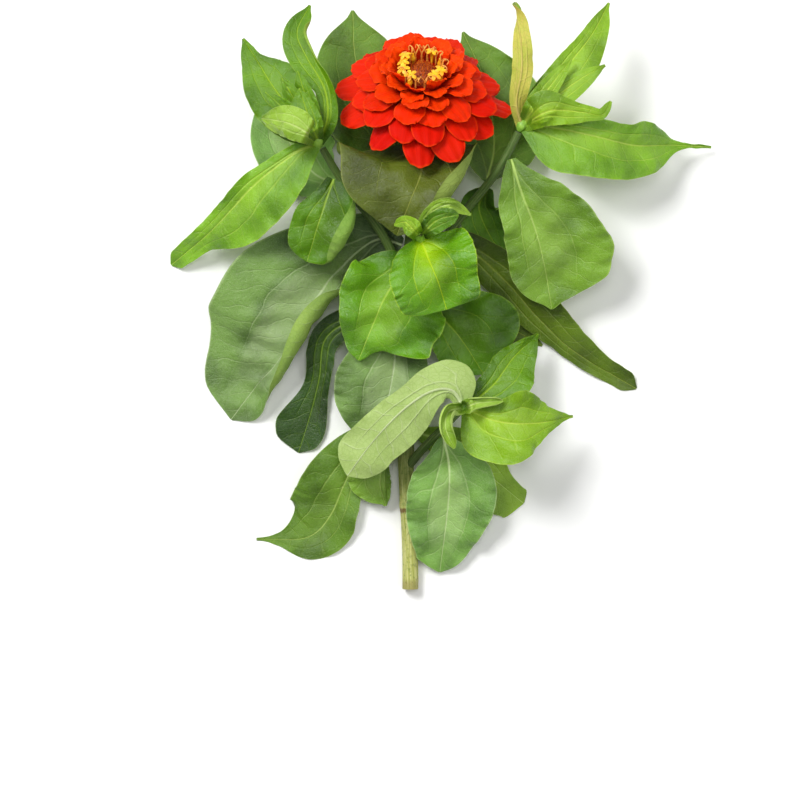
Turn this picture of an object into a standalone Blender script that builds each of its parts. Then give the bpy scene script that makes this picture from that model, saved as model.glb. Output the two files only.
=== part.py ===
"""One zinnia, picked with its leafy stem and lying on a table.

Lengths are in millimetres here and become metres where solids are made. X runs across the stem, Y
along it from the cut to the bloom, and Z up from the table. ORIGIN is the middle of the footprint.
"""
import bpy
import numpy as np

MM = 0.001
ORIGIN = np.array([13.8, 126.1, 0.0])
COLOURS = {
    "leaf": ((0.10, 0.22, 0.045), 0.55),
    "young_leaf": ((0.20, 0.38, 0.05), 0.45),
    "stem": ((0.26, 0.33, 0.10), 0.55),
    "petal": ((0.85, 0.05, 0.01), 0.5),
    "disc": ((0.45, 0.12, 0.02), 0.8),
    "floret": ((0.95, 0.55, 0.03), 0.5),
}

# how many sides, rows and columns the solids have
MAIN_SIDES, BRANCH_SIDES, BUD_SIDES = 10, 6, 8
CORE_SIDES, DISC_SIDES, STALK_SIDES = 16, 24, 4
BIG_BLADE, SMALL_BLADE, BIG_LEAF = (8, 6), (4, 2), 9
OUTER_PETAL_ROWS, INNER_PETAL_ROWS, OUTER_LAYERS = [0, 3, 5, 7, 8], [0, 4, 7, 8], 4
# relief of the disc and of the cup, as shares of their radius
DISC_BUMP, DISC_TILTS = 0.06, (18, 36, 54, 72)
BRACT_BUMP, BRACTS = 0.05, 12
# the star florets and the collar that they stand on
LOBES, LOBE_WAIST, PLATE_HALF = 5, 0.45, 0.4
STALK_RADII = (0.55, 0.6, 0.7)
COLLAR_HALF, COLLAR_HIGH = 0.5, 1.0


# how finely a leaf is laid out, and how its end is rounded
ROWS, HALF_COLS = 24, 6
TIP_HALF, ROUND_FROM = 0.6, 0.84
AXIS_STEPS = 16
LEAF_THICK = 0.8
# how leaves lie on the surface and on each other; the first LEAF_FREE of each stays where it springs
PRESS = 1.2
LEAF_CLEAR, LEAF_FREE = 1.7, 0.08
SEAT_GAP, SEAM = 1.15, 0.4
BUD_RADIUS = 2.8
HEAP_CELL = 2.0
HEAP_CORNER = np.array([-130.0, -20.0])
HEAP_CELLS = (145, 150)

# the stem and its branches: points along the middle, then radii evenly spread from foot to tip
AXES = {
    "main": ([(0.2, -5, 3.75), (0, 15, 5.0), (-1, 33, 6.6), (-2, 60, 8.8), (-1.5, 110, 12.8),
              (0.5, 150, 16), (3, 185, 16.5), (4.8, 199, 16.6), (5.4, 205.6, 18.2),
              (5.4, 209.33, 22.46)], (3.7, 3.6, 3.6, 3.4, 2.9, 2.8)),
    "upper_left": ([(-1, 125, 14), (-11, 152, 20), (-29, 176, 27), (-39, 192, 32)], (2.4, 2.0, 1.7)),
    "upper_right": ([(0, 125, 14), (18, 156, 20), (38, 181, 28), (48, 199, 33)], (2.4, 2.0, 1.7)),
    "centre": ([(0.4, 145, 16), (1.5, 148, 30), (3.6, 151, 44)], (2.0, 1.7, 1.4)),
    "lower_right": ([(-1.5, 50, 8), (9, 62, 20), (22, 75, 31)], (2.2, 1.8, 1.5)),
}

# Leaves in the order in which they lie on each other; STEM, BLOOM and BRANCH stand among them.
# spine: points along the middle, base first; left, right: half widths evenly spread along it, as
# seen with the face up; fold_, curl_: how far each half rises in a straight slope, or rolls up
# towards its margin (crisp: how near the margin), in degrees; roll: turn about the spine, 180 shows
# the underside; wave, waves: height and number of the margin's ripples; blunt: where along the
# leaf its end begins to round off; gap: its distance from the stem; shoot: the shoot it belongs to.
LEAVES = {
    # on the surface, under all else
    "back_left": dict(
        spine=[(-30, 177, 24), (-44, 183, 12), (-56, 201, 0), (-59.3, 234.5, -1)],
        left=(3, 12, 17, 16, 9, 1), right=(3, 15, 18, 16, 9, 1)),
    "behind_left": dict(
        spine=[(-1, 187, 12), (-12, 203, 5), (-24, 232, 0), (-26, 256.8, -1)],
        left=(1.6, 17, 23, 22, 15, 1), right=(1.6, 11, 20, 22, 16, 1), gap=1.3),
    "behind_right": dict(
        spine=[(34, 179, 22), (38, 196, 7), (35, 222, 0), (24, 247, -1)],
        left=(2.5, 20, 23, 21, 14, 1), right=(2.5, 17, 22, 22.5, 12.5, 1)),
    "under_right": dict(
        spine=[(33, 178, 20), (31, 167, 15), (35, 156, 11.5), (43, 144, 8.5)],
        left=(2.5, 8, 10, 9, 6, 1), right=(2.5, 7, 9.5, 9.5, 6, 1)),
    "low_right": dict(
        spine=[(2, 112, 11), (24, 116, 6), (44, 113, 1), (60, 105, -1)],
        left=(2.5, 9, 12, 12, 8, 1), right=(2.5, 9, 12, 12, 7, 1)),
    "foot_right": dict(
        spine=[(2, 66, 8), (18, 60, 6), (36, 46, 2), (51.5, 33.5, -1)],
        left=(2, 7, 12, 12, 6.5, 5), right=(2, 8, 13, 15.5, 14, 9), blunt=0.95),
    "low_left": dict(
        spine=[(-4, 113, 11), (-24, 116, 12), (-38, 108, 9), (-41, 90, 5), (-45, 74, 2),
               (-50.5, 56.5, 0)],
        left=(2.5, 6, 7, 6, 5.5, 8.5, 9.5), right=(2.5, 6, 7, 6.5, 7, 13.5, 16)),
    "foot_left": dict(
        spine=[(-4, 66, 8), (-20, 61, 9), (-29, 44, 6), (-36, 28, 2), (-47, 18, -1), (-69.5, 17.3, -1)],
        left=(2.5, 5, 7, 8.5, 11, 13.5, 10.5, 3.5, 0.7), right=(2.5, 7, 14, 18.5, 20, 19.5, 16.5, 4, 0.7)),
    "big_left": dict(
        spine=[(-3, 150, 14), (-16, 152, 12.5), (-34, 137, 11), (-47, 119, 8), (-58, 100, 4),
               (-70, 86, 0), (-81, 71.5, -1)],
        left=(3, 13, 20, 23, 22, 18, 14, 10), right=(3, 16, 28, 39, 40.5, 38.5, 26.5, 20),
        fold_left=(0, 12, 35, 40, 30, 8), curl_left=(0, 40, 140, 145, 90, 0), waves=2.0, blunt=0.88),
    "long_right": dict(
        spine=[(3, 148, 14), (14, 150, 13), (26, 148, 12), (44, 133, 10), (60, 115, 8), (76, 101, 5),
               (102.5, 85.5, -1)],
        left=(2.5, 8, 12, 15, 12, 7.5, 5), right=(2.5, 7, 9, 8.5, 6, 4.5, 4), roll=(0, 20, 28, 20),
        blunt=0.96),
    "STEM": ("main", "upper_left", "upper_right"),
    "BLOOM": (),
    # middle
    "small_low": dict(
        spine=[(-5, 57, 9), (-11.5, 52.5, 10), (-13.5, 43, 8.5), (-11, 32.5, 5)],
        left=(1.5, 2, 4, 5, 4, 1), right=(1.5, 6.5, 13.5, 14, 8, 1)),
    "centre_left": dict(
        spine=[(-2, 119, 16), (-6, 106, 20), (-8, 90, 20), (-12, 72, 18), (-18, 58, 13)],
        left=(2, 12, 16, 17, 14, 3), right=(2, 16, 24, 25, 20, 6)),
    "centre_right": dict(
        spine=[(2, 119, 15), (10, 120, 19), (21, 110, 20), (33, 92, 15)],
        left=(2.5, 11, 22, 28, 24, 8), right=(2.5, 9, 12, 14, 13, 4)),
    # upper
    "curled_left": dict(
        spine=[(-31, 181, 28), (-37, 170, 31), (-41, 158, 30), (-46, 142, 24)],
        left=(3, 19, 28, 27, 20, 7), right=(3, 6, 11, 12, 11, 6), fold_left=(8, 0, 0, 0, 8),
        curl_left=(20, 150, 205, 190, 60), crisp=2.1),
    "glossy_centre": dict(
        spine=[(0.5, 143, 24), (-5, 136, 30), (-13, 122, 34), (-23, 98, 28)],
        left=(3, 14, 22, 28.5, 30, 28.5, 27, 8, 2), right=(3, 12, 18, 21, 20, 17.5, 14, 10, 4),
        wave=2.6, waves=3, blunt=0.93, gap=0.85),
    "big_right": dict(
        spine=[(43, 189, 29), (48.5, 175, 34), (55, 158, 30), (60, 140, 24), (63.5, 121, 17)],
        left=(2, 6, 11.5, 18, 21.5, 26, 28.5, 31, 32.5, 30, 26.5, 13, 2),
        right=(2, 7, 12, 13.5, 14.5, 15.5, 15.5, 11, 1), blunt=0.9),
    "lower_shoot_back": dict(
        spine=[(25, 78, 27), (37, 87, 25.5), (46, 99, 22), (57.5, 110, 16)],
        left=(2.5, 6, 7, 7, 4, 1), right=(2.5, 10, 14, 14, 8, 1)),
    "pale_twisted": dict(
        shoot="lower_right",
        spine=[(20, 77, 31), (18.5, 84.5, 36), (9, 84, 37.5), (-3, 76, 36), (-16, 62.5, 31.5),
               (-28, 46.5, 26)],
        left=(3, 13, 11, 8.5, 9, 10, 11, 11.5, 5), right=(3, 4, 8, 12, 14, 14, 12.5, 11, 5),
        roll=180, blunt=0.93),
    "BRANCH": ("lower_right",),
    "front_low": dict(
        spine=[(17, 66, 18), (17.5, 50, 17), (17, 32, 12), (13.5, 2.5, 2)],
        left=(2.5, 15, 21, 21, 17, 11.5, 5), right=(2.5, 13, 18, 19, 17.5, 13, 6), blunt=0.88, gap=1.3),
    "under_bloom": dict(
        spine=[(6, 194, 24), (5, 182, 40), (0, 168, 45), (-6, 153, 41)],
        left=(6, 22, 30, 30, 13, 4), right=(6, 31, 39, 36, 28, 6),
        curl_left=(0, 0, 95, 185, 110, 0), crisp=2.2),
    # young side shoots
    "long_left": dict(
        shoot="upper_left",
        spine=[(-39, 192, 32), (-52, 189, 35), (-70, 175, 32), (-88, 157, 18), (-108, 141.5, 0)],
        left=(2.5, 12, 17, 19, 18.5, 15, 7, 5, 4), right=(2.5, 4, 5, 6.5, 6, 6, 5.5, 5, 4),
        blunt=0.94),
    "drip_right": dict(
        shoot="upper_right",
        spine=[(49, 199, 33), (62, 201, 37), (80, 197.5, 36), (100, 193.8, 27), (118, 194.8, 14),
               (136, 194.5, 5)],
        left=(2.5, 6, 8, 8.5, 8.5, 8.5, 11, 9, 2.5, 0.8, 0.4),
        right=(2.5, 15, 19, 18.5, 18, 16.5, 14, 10.5, 3.5, 0.8, 0.4)),
    "ul_1": dict(
        shoot="upper_left",
        spine=[(-39, 192, 33), (-49, 204, 38), (-60, 218, 37), (-68, 231, 31), (-74.5, 241.5, 24)],
        left=(2.5, 11, 14, 12, 7, 1.5), right=(2.5, 7, 11, 12, 3, 1.5)),
    "ul_2": dict(
        shoot="upper_left",
        spine=[(-37, 191, 33), (-36.5, 205, 41), (-38, 218, 44), (-46, 232, 43), (-50, 243, 39),
               (-44.5, 255.5, 32)],
        left=(2.5, 5, 4, 7, 8, 5, 1), right=(2.5, 4.5, 4.5, 5.5, 8, 8, 1),
        curl_right=(0, 0, 60, 130, 130, 40)),
    "ul_5": dict(
        shoot="upper_left", spine=[(-40, 194, 34), (-43.5, 206, 42), (-49.5, 225, 41)],
        left=(2, 4, 5, 1), right=(2, 4, 4, 1)),
    "ul_6": dict(
        shoot="upper_left", spine=[(-40, 194, 34), (-48, 208, 44), (-56.7, 222.5, 44)],
        left=(2, 5, 5, 1), right=(2, 5, 4, 1)),
    "ul_7": dict(
        shoot="upper_left", spine=[(-40, 194, 34), (-52, 205, 44), (-63.8, 216, 43)],
        left=(2, 5, 4, 1), right=(2, 5, 4, 1)),
    "ul_3": dict(
        shoot="upper_left", spine=[(-39, 193, 34), (-44, 203, 43), (-48.7, 217, 44)],
        left=(2, 8.5, 8, 1), right=(2, 5, 4.5, 1)),
    "ul_4": dict(
        shoot="upper_left", spine=[(-40, 192, 34), (-52, 201, 42), (-65.5, 204.5, 41)],
        left=(2, 6, 6, 2), right=(2, 7, 7.5, 2)),
    "ur_1": dict(
        shoot="upper_right",
        spine=[(50, 203, 35), (60, 216, 38), (72, 231, 39), (81, 243, 35), (88.5, 257, 28)],
        left=(2.5, 6, 6, 5, 4, 1), right=(2.5, 8, 13, 11, 6, 1)),
    "ur_2": dict(
        shoot="upper_right",
        spine=[(46.5, 202, 35), (47, 212, 43), (49, 226, 48), (48.5, 240, 46), (46.5, 256, 40)],
        left=(2.5, 4, 5, 5, 4.5, 6), right=(2.5, 3, 4, 4, 3, 5), roll=(180, 180, 180, 180, 150, 20)),
    "ur_4": dict(
        shoot="upper_right", spine=[(51, 203, 36), (62, 212, 42), (73, 220.5, 42), (86, 228, 37)],
        left=(2, 5, 4, 1), right=(2, 6, 6, 1)),
    "ur_5": dict(
        shoot="upper_right", spine=[(50, 203, 36), (59, 215, 44), (71, 230.5, 45)],
        left=(2, 5, 4, 1), right=(2, 5, 4, 1)),
    "ur_3": dict(
        shoot="upper_right",
        spine=[(50, 201, 36), (62, 207.5, 43), (76, 207, 45), (84.5, 206, 43), (88.5, 212, 43)],
        left=(2.5, 8, 9.5, 5.5, 3.5, 3, 2.5), right=(2.5, 5, 6.5, 6.5, 4.5, 2, 2)),
    "c_1": dict(
        shoot="centre", spine=[(4, 151, 47), (8, 142, 55), (12, 132, 57), (16, 120, 51)],
        left=(2.5, 18, 21, 20.5, 18, 17, 14.5), right=(2.5, 13, 18, 20, 20.5, 19, 12), wave=1.6,
        blunt=0.9),
    "c_2": dict(
        shoot="centre", spine=[(5, 153, 48), (8, 161, 54), (17, 165.5, 55), (26.5, 161.5, 51)],
        left=(2, 3, 3, 1), right=(2, 3, 3, 1)),
    "c_3": dict(
        shoot="centre", spine=[(5, 152, 47), (12, 159, 51), (21, 161, 47)],
        left=(2, 4, 4, 2), right=(2, 5, 5, 2)),
    "c_4": dict(
        shoot="centre", spine=[(3, 153, 47), (-2, 158, 52), (-7, 157, 51)],
        left=(2, 4, 3, 1), right=(2, 4, 3, 1)),
    "lr_1": dict(
        shoot="lower_right", spine=[(24, 74, 33), (38, 71, 40), (55, 70, 38), (72.5, 73, 26)],
        left=(2.5, 8, 10.5, 15, 11, 4.5, 0.7), right=(2.5, 16, 18.5, 17, 8, 2.5, 0.7)),
    "lr_2": dict(
        shoot="lower_right", spine=[(22, 76, 33), (17, 75, 43), (15.5, 68, 48), (19.5, 59, 45)],
        left=(2, 6, 6, 1.5), right=(2, 5, 5, 1.5), curl_left=(60, 150, 60), curl_right=(60, 150, 60)),
    "lr_3": dict(
        shoot="lower_right", spine=[(23, 76, 33), (30, 79, 42), (41, 80, 43)],
        left=(2, 5, 4, 2), right=(2, 5, 4, 2), curl_left=(30, 120, 120), curl_right=(30, 120, 120)),
}

BLOOM_LEAN = np.radians(50)
BLOOM_SEAT = np.array([5.4, 210.2, 23.5])
BLOOM_AXIS = np.array([0.0, np.cos(BLOOM_LEAN), np.sin(BLOOM_LEAN)])
BLOOM_SIDE = np.array([1.0, 0.0, 0.0])
BLOOM_BACK = np.cross(BLOOM_AXIS, BLOOM_SIDE)
PETAL_ROWS, PETAL_HALF = 8, 2
PETAL_SEED = 5
PETAL_STAGGER = 0.9
PETAL_CLEAR = 1.2
PETAL_WIDTHS = (0.40, 0.66, 0.92, 1.06, 1.02, 0.66)
PETAL_SHORTER, PETAL_SWAY, PETAL_LIFT, PETAL_TWIST = 0.16, 0.10, 1.8, 15
# outermost first: how many, (radius, height) of base and tip over the bloom's seat, half width,
# rise in the middle, hollow across as a share of the half width, and the first one's place
PETAL_LAYERS = [
    dict(count=12, base=(9, 10.5), tip=(40.5, 2.5), half=7.2, arch=3.0, bow=-0.12, start=0.75),
    dict(count=12, base=(9, 13), tip=(36, 10), half=7.0, arch=2.8, bow=-0.10, start=0.3),
    dict(count=11, base=(9, 15.3), tip=(30.5, 17), half=6.5, arch=2.0, bow=-0.04, start=0.6),
    dict(count=10, base=(9, 17.3), tip=(25.5, 22), half=5.8, arch=1.6, bow=0.04, start=0.1),
    dict(count=9, base=(9.3, 19), tip=(20.5, 26), half=5.0, arch=0.8, bow=0.16, start=0.4),
    dict(count=7, base=(9.8, 19.4), tip=(15.5, 29), half=4.3, arch=0.3, bow=0.26, start=0.9),
]
PETAL_THICK = 0.7
# (radius, height) from the bottom up
CORE_PROFILE = [(9.6, 8.6), (10.8, 12), (10.8, 18.5), (10.0, 21.0)]
CUP_PROFILE = [(3.5, 0), (7.5, 1.6), (10.0, 3.6), (11.8, 6.0), (12.2, 8.2)]
DISC_RADIUS, DISC_FOOT, DISC_RISE = 7.6, 21.3, 5.2
COLLAR_RADIUS, COLLAR_FOOT = 8.9, 21.5
STAR_SEED, STAR_HEIGHT = 3, 28.0
STAR_TURNS = (62, 146, 171, 197, 232, 308, 334)
SHOOTS = ("upper_left", "upper_right", "centre", "lower_right")


# ---------------------------------------------------------------- smooth lines

def spline(points, at):
    """The smooth (Catmull-Rom) curve through points, read at places counted in points."""
    pts = np.array(points, float)
    pad = np.concatenate([[2 * pts[0] - pts[1]], pts, [2 * pts[-1] - pts[-2]]])
    i = np.clip(at.astype(int), 0, len(pts) - 2)
    t = (at - i).reshape([-1] + [1] * (pts.ndim - 1))
    p0, p1, p2, p3 = (pad[i + k] for k in range(4))
    bend = 2 * p0 - 5 * p1 + 4 * p2 - p3
    return p1 + 0.5 * (t * (p2 - p0) + t**2 * bend + t**3 * (3 * p1 - p0 - 3 * p2 + p3))


def smooth_path(points, count):
    """count + 1 points, evenly spaced, along a smooth curve through the given ones."""
    line = spline(points, np.linspace(0, len(points) - 1, 30 * len(points)))
    run = np.r_[0, np.cumsum(np.linalg.norm(np.diff(line, axis=0), axis=1))]
    even = np.linspace(0, run[-1], count + 1)
    return np.column_stack([np.interp(even, run, line[:, k]) for k in range(line.shape[1])])


def along(values, count):
    """A few values, evenly spread from base to tip, as count + 1 smooth ones."""
    values = np.atleast_1d(np.array(values, float))
    if len(values) == 1:
        return np.full(count + 1, values[0])
    return spline(values, np.linspace(0, len(values) - 1, count + 1))


def unit(v):
    return v / np.linalg.norm(v, axis=-1, keepdims=True)


# ---------------------------------------------------------------- the stem

def stem_lines():
    """Each axis of the stem and its branches as (points, radii)."""
    lines = {}
    for name, (points, radii) in AXES.items():
        lines[name] = (smooth_path(points, AXIS_STEPS), along(radii, AXIS_STEPS))
    return lines


def seat(point, toward, lines, gap):
    """Where a leaf that springs near point starts: gap off the skin of the nearest axis."""
    best = None
    for axis, radii in lines.values():
        fine = spline(axis, np.linspace(0, len(axis) - 1, 20 * len(axis)))
        thick = spline(radii, np.linspace(0, len(radii) - 1, 20 * len(radii)))
        room = np.linalg.norm(fine - point, axis=1) - thick
        i = int(room.argmin())
        if best is None or room[i] < best[0]:
            run = unit(fine[min(i + 1, len(fine) - 1)] - fine[max(i - 1, 0)])
            best = (room[i], fine[i], thick[i], run)
    _, middle, radius, run = best
    out = toward - middle
    out = unit(out - (out @ run) * run)
    return middle + out * (radius + gap)


# ---------------------------------------------------------------- leaves

def half_width(values, u, start):
    """Half width along a leaf, from a few evenly spaced values, with an end rounded from start on."""
    end = np.clip((u - start) / (1 - start), 0, 1)
    return np.maximum(along(values, ROWS) * np.sqrt(1 - end**2), TIP_HALF)


def leaf_grid(leaf, spine):
    """The blade's middle surface: ROWS + 1 rows from base to tip, 2 * HALF_COLS + 1 points in each."""
    path = smooth_path(spine, ROWS)
    u = np.linspace(0, 1, ROWS + 1)
    run = unit(np.gradient(path, axis=0))
    up = np.array([0.0, 0.0, 1.0])
    face = unit(up - (run @ up)[:, None] * run)
    side = np.cross(run, face)
    turn = np.radians(along(leaf.get("roll", 0), ROWS))[:, None]
    face, side = face * np.cos(turn) + side * np.sin(turn), side * np.cos(turn) - face * np.sin(turn)
    t = np.linspace(0, 1, 4 * HALF_COLS + 1)
    swing = leaf.get("wave", 1.0) * np.sin(np.pi * u) ** 0.5
    halves = []
    for way, name in ((-1, "left"), (1, "right")):
        wide = half_width(leaf[name], u, leaf.get("blunt", ROUND_FROM))
        fold = np.radians(along(leaf.get("fold_" + name, 8), ROWS))
        curl = np.radians(along(leaf.get("curl_" + name, 0), ROWS))
        angle = fold[:, None] + curl[:, None] * t[None, :] ** leaf.get("crisp", 1.6)
        middle = (angle[:, 1:] + angle[:, :-1]) / 2
        start = np.zeros((ROWS + 1, 1))
        out = np.hstack([start, np.cumsum(np.cos(middle), axis=1)]) / (4 * HALF_COLS)
        lift = np.hstack([start, np.cumsum(np.sin(middle), axis=1)]) / (4 * HALF_COLS)
        out, lift = (part[:, ::4] * wide[:, None] for part in (out, lift))
        ripple = np.sin(2 * np.pi * (leaf.get("waves", 2.5) * u + 0.1 * way))
        lift = lift + (swing * ripple)[:, None] * (t[::4] ** 2)[None, :]
        sideways, upward = way * out[..., None] * side[:, None], lift[..., None] * face[:, None]
        halves.append(path[:, None] + sideways + upward)
    left, right = halves
    return np.concatenate([left[:, :0:-1], right], axis=1)


def rest_on_surface(grid, lowest):
    """Presses what lies too low on to the surface: flat at lowest, with a short soft rise."""
    z = grid[..., 2]
    soft = lowest + (z - lowest + PRESS) ** 2 / (4 * PRESS)
    grid[..., 2] = np.where(z > lowest + PRESS, z, np.where(z < lowest - PRESS, lowest, soft))
    return grid


class Heap:
    """The height of what already lies there, over square cells, so that the next leaf lies on it."""

    def __init__(self):
        self.top = np.full(HEAP_CELLS, LEAF_THICK / 2 - LEAF_CLEAR)

    def cells(self, points):
        at = ((points[..., :2] - HEAP_CORNER) / HEAP_CELL).astype(int)
        return tuple(np.clip(at[..., k], 0, HEAP_CELLS[k] - 1) for k in range(2))

    def add(self, grid):
        """Lays a grid of points down, each of its quads filled in."""
        for a in np.linspace(0, 1, 5):
            for b in np.linspace(0, 1, 5):
                rows = grid[:-1] * (1 - a) + grid[1:] * a
                points = rows[:, :-1] * (1 - b) + rows[:, 1:] * b
                np.maximum.at(self.top, self.cells(points), points[..., 2])

    def floor(self, grid):
        """The height to clear at each point of the grid, eased at the edges of what lies below."""
        wide = self.top
        for _ in range(2):
            near = [np.roll(wide, (i, j), (0, 1)) for i in (-1, 0, 1) for j in (-1, 0, 1)]
            wide = np.max(near, axis=0)
        soft = wide
        for _ in range(3):
            near = [np.roll(soft, (i, j), (0, 1)) for i in (-2, 0, 2) for j in (-2, 0, 2)]
            soft = np.mean(near, axis=0)
        near = [np.roll(self.top, (i, j), (0, 1)) for i in (-1, 0, 1) for j in (-1, 0, 1)]
        tight = np.max(near, axis=0)
        return np.maximum(tight, soft)[self.cells(grid)]


def lay(grid, heap, free, clear):
    """Lifts the grid over the heap; the first part of its length, free, stays where it springs."""
    u = np.linspace(0, 1, len(grid))
    hold = np.clip((u - free) / 0.15, 0, 1)[:, None]
    short = np.maximum(heap.floor(grid) + clear - grid[..., 2], 0)
    low = short.copy()
    for _ in range(3):
        pad = np.pad(low, 1, mode="edge")
        near = [pad[i:i + len(low), j:j + low.shape[1]] for i in (0, 1, 2) for j in (0, 1, 2)]
        low = np.mean(near, axis=0)
        low = np.maximum(low, short)
    grid[..., 2] += low * hold
    return grid


def stem_tube(axis, radii, sides):
    """Rings round an axis, as a grid of (ring, side)."""
    run = unit(np.gradient(axis, axis=0))
    up = np.array([0.0, 0.0, 1.0])
    face = unit(up - (run @ up)[:, None] * run)
    side = np.cross(run, face)
    turn = np.arange(sides) * 2 * np.pi / sides
    ring = np.cos(turn)[None, :, None] * side[:, None] + np.sin(turn)[None, :, None] * face[:, None]
    return axis[:, None] + radii[:, None, None] * ring


def bud_centre(name, lines):
    """The middle of the bud on the end of a branch."""
    axis, _ = lines[name]
    return axis[-1] + unit(axis[-1] - axis[-2]) * (BUD_RADIUS + SEAM)


def lay_out():
    """Every leaf's middle surface by name, and every petal's, laid in order over what is below."""
    lines = stem_lines()
    heap = Heap()
    leaves = {}
    petals = None
    for name, leaf in LEAVES.items():
        if name in ("STEM", "BRANCH"):
            for axis, radii in (lines[part] for part in leaf):
                tube = stem_tube(axis, radii, 12)
                heap.add(np.concatenate([tube, tube[:, :1]], axis=1))
            continue
        if name == "BLOOM":
            petals = all_petals(heap)
            continue
        spine = np.array(leaf["spine"], float)
        if "shoot" in leaf:
            spine[0] = bud_centre(leaf["shoot"], lines)
        else:
            spine[0] = seat(spine[0], spine[1], lines, leaf.get("gap", SEAT_GAP))
        grid = leaf_grid(leaf, spine)
        grid = rest_on_surface(grid, LEAF_THICK / 2)
        grid = lay(grid, heap, LEAF_FREE, LEAF_CLEAR)
        heap.add(grid)
        leaves[name] = grid
    return lines, leaves, petals


# ---------------------------------------------------------------- the bloom

def bloom_point(radius, turn, height):
    """A point of the bloom from its distance from the axis, its angle and its height."""
    out = np.cos(turn) * BLOOM_SIDE + np.sin(turn) * BLOOM_BACK
    return BLOOM_SEAT + height * BLOOM_AXIS + radius * out


def petal_grid(layer, turn, rng):
    """The middle surface of one ray petal: PETAL_ROWS + 1 rows, 2 * PETAL_HALF + 1 points in each."""
    grow = 1 - rng.uniform(0, PETAL_SHORTER)
    sway, tip_lift = rng.uniform(-PETAL_SWAY, PETAL_SWAY), rng.uniform(-PETAL_LIFT, PETAL_LIFT)
    twist = np.radians(rng.uniform(-PETAL_TWIST, PETAL_TWIST))
    (r0, h0), (r1, h1) = layer["base"], layer["tip"]
    r1 = r0 + (r1 - r0) * grow
    u = np.linspace(0, 1, PETAL_ROWS + 1)
    radius = r0 + (r1 - r0) * u
    arch = layer["arch"] * np.sin(np.pi * u ** 0.9)
    height = h0 + (h1 - h0) * u + arch + tip_lift * u**2
    turns = turn + sway * u**1.5
    path = np.array([bloom_point(r, a, h) for r, a, h in zip(radius, turns, height)])
    run = unit(np.gradient(path, axis=0))
    face = unit(BLOOM_AXIS - (run @ BLOOM_AXIS)[:, None] * run)
    side = np.cross(run, face)
    lean = (twist * u)[:, None]
    face, side = face * np.cos(lean) + side * np.sin(lean), side * np.cos(lean) - face * np.sin(lean)
    wide = layer["half"] * spline(PETAL_WIDTHS, u * (len(PETAL_WIDTHS) - 1))
    v = np.linspace(-1, 1, 2 * PETAL_HALF + 1)
    bow = layer["bow"] + rng.uniform(-0.05, 0.05)
    grid = path[:, None] + wide[:, None, None] * v[None, :, None] * side[:, None]
    grid = grid + (bow * wide[:, None] * (v**2)[None, :])[..., None] * face[:, None]
    round_off = -0.34 * layer["half"] * (u**7)[:, None] * (v**2)[None, :]
    return grid + round_off[..., None] * run[:, None]


def all_petals(heap):
    """The middle surfaces of all ray petals, outermost layer first, eased over what lies below."""
    rng = np.random.RandomState(PETAL_SEED)
    petals = []
    for number, layer in enumerate(PETAL_LAYERS):
        for k in range(layer["count"]):
            turn = 2 * np.pi * (k + layer["start"]) / layer["count"] + rng.uniform(-PETAL_SWAY, PETAL_SWAY)
            step = dict(layer)
            lift = PETAL_STAGGER * (1 if k % 2 else -1)
            step["base"] = (layer["base"][0], layer["base"][1] + lift * 0.6)
            step["tip"] = (layer["tip"][0], layer["tip"][1] + lift)
            grid = petal_grid(step, turn, rng)
            petals.append((number, lay(grid, heap, 0.0, PETAL_CLEAR)))
    return petals


def star_places():
    """Where the small star florets stand: (turn, distance, height, size, lean) of each."""
    rng = np.random.RandomState(STAR_SEED)
    places = []
    for degrees in STAR_TURNS:
        reach = COLLAR_RADIUS + rng.uniform(-0.3, 0.5)
        height = STAR_HEIGHT + rng.uniform(-0.5, 0.9)
        size, lean = rng.uniform(2.6, 3.0), np.radians(rng.uniform(10, 26))
        places.append((np.radians(degrees), reach, height, size, lean))
    return places


# ---------------------------------------------------------------- solids

def clear_scene():
    for thing in list(bpy.data.objects):
        bpy.data.objects.remove(thing)


def material(name):
    """The Principled material of that name in COLOURS."""
    colour, roughness = COLOURS[name]
    made = bpy.data.materials.new(name)
    made.use_nodes = True
    shader = made.node_tree.nodes["Principled BSDF"]
    shader.inputs["Base Color"].default_value = (*colour, 1)
    shader.inputs["Roughness"].default_value = roughness
    shader.inputs["Metallic"].default_value = 0
    return made


def solid(name, points, faces, finish):
    """One object from points in millimetres and faces, with the part's origin at ORIGIN."""
    mesh = bpy.data.meshes.new(name)
    mesh.from_pydata(((points - ORIGIN) * MM).tolist(), [], faces)
    mesh.materials.append(finish)
    made = bpy.data.objects.new(name, mesh)
    bpy.context.scene.collection.objects.link(made)
    return made


def fuse(name, pieces, finish, solver="EXACT"):
    """Joins closed pieces, given as (points, faces), in one body by a Boolean union."""
    core = solid(name, *pieces[0], finish)
    rest = bpy.data.collections.new(name + "_rest")
    bpy.context.scene.collection.children.link(rest)
    for k, piece in enumerate(pieces[1:]):
        thing = solid(f"{name}_{k}", *piece, finish)
        rest.objects.link(thing)
        bpy.context.scene.collection.objects.unlink(thing)
    union = core.modifiers.new("join", "BOOLEAN")
    union.operation = "UNION"
    union.operand_type = "COLLECTION"
    union.collection = rest
    union.solver = solver
    bpy.context.view_layer.update()
    shape = core.evaluated_get(bpy.context.evaluated_depsgraph_get())
    joined = bpy.data.meshes.new_from_object(shape)
    core.modifiers.clear()
    core.data = joined
    for thing in list(rest.objects):
        bpy.data.objects.remove(thing)
    bpy.data.collections.remove(rest)
    return core


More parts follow.
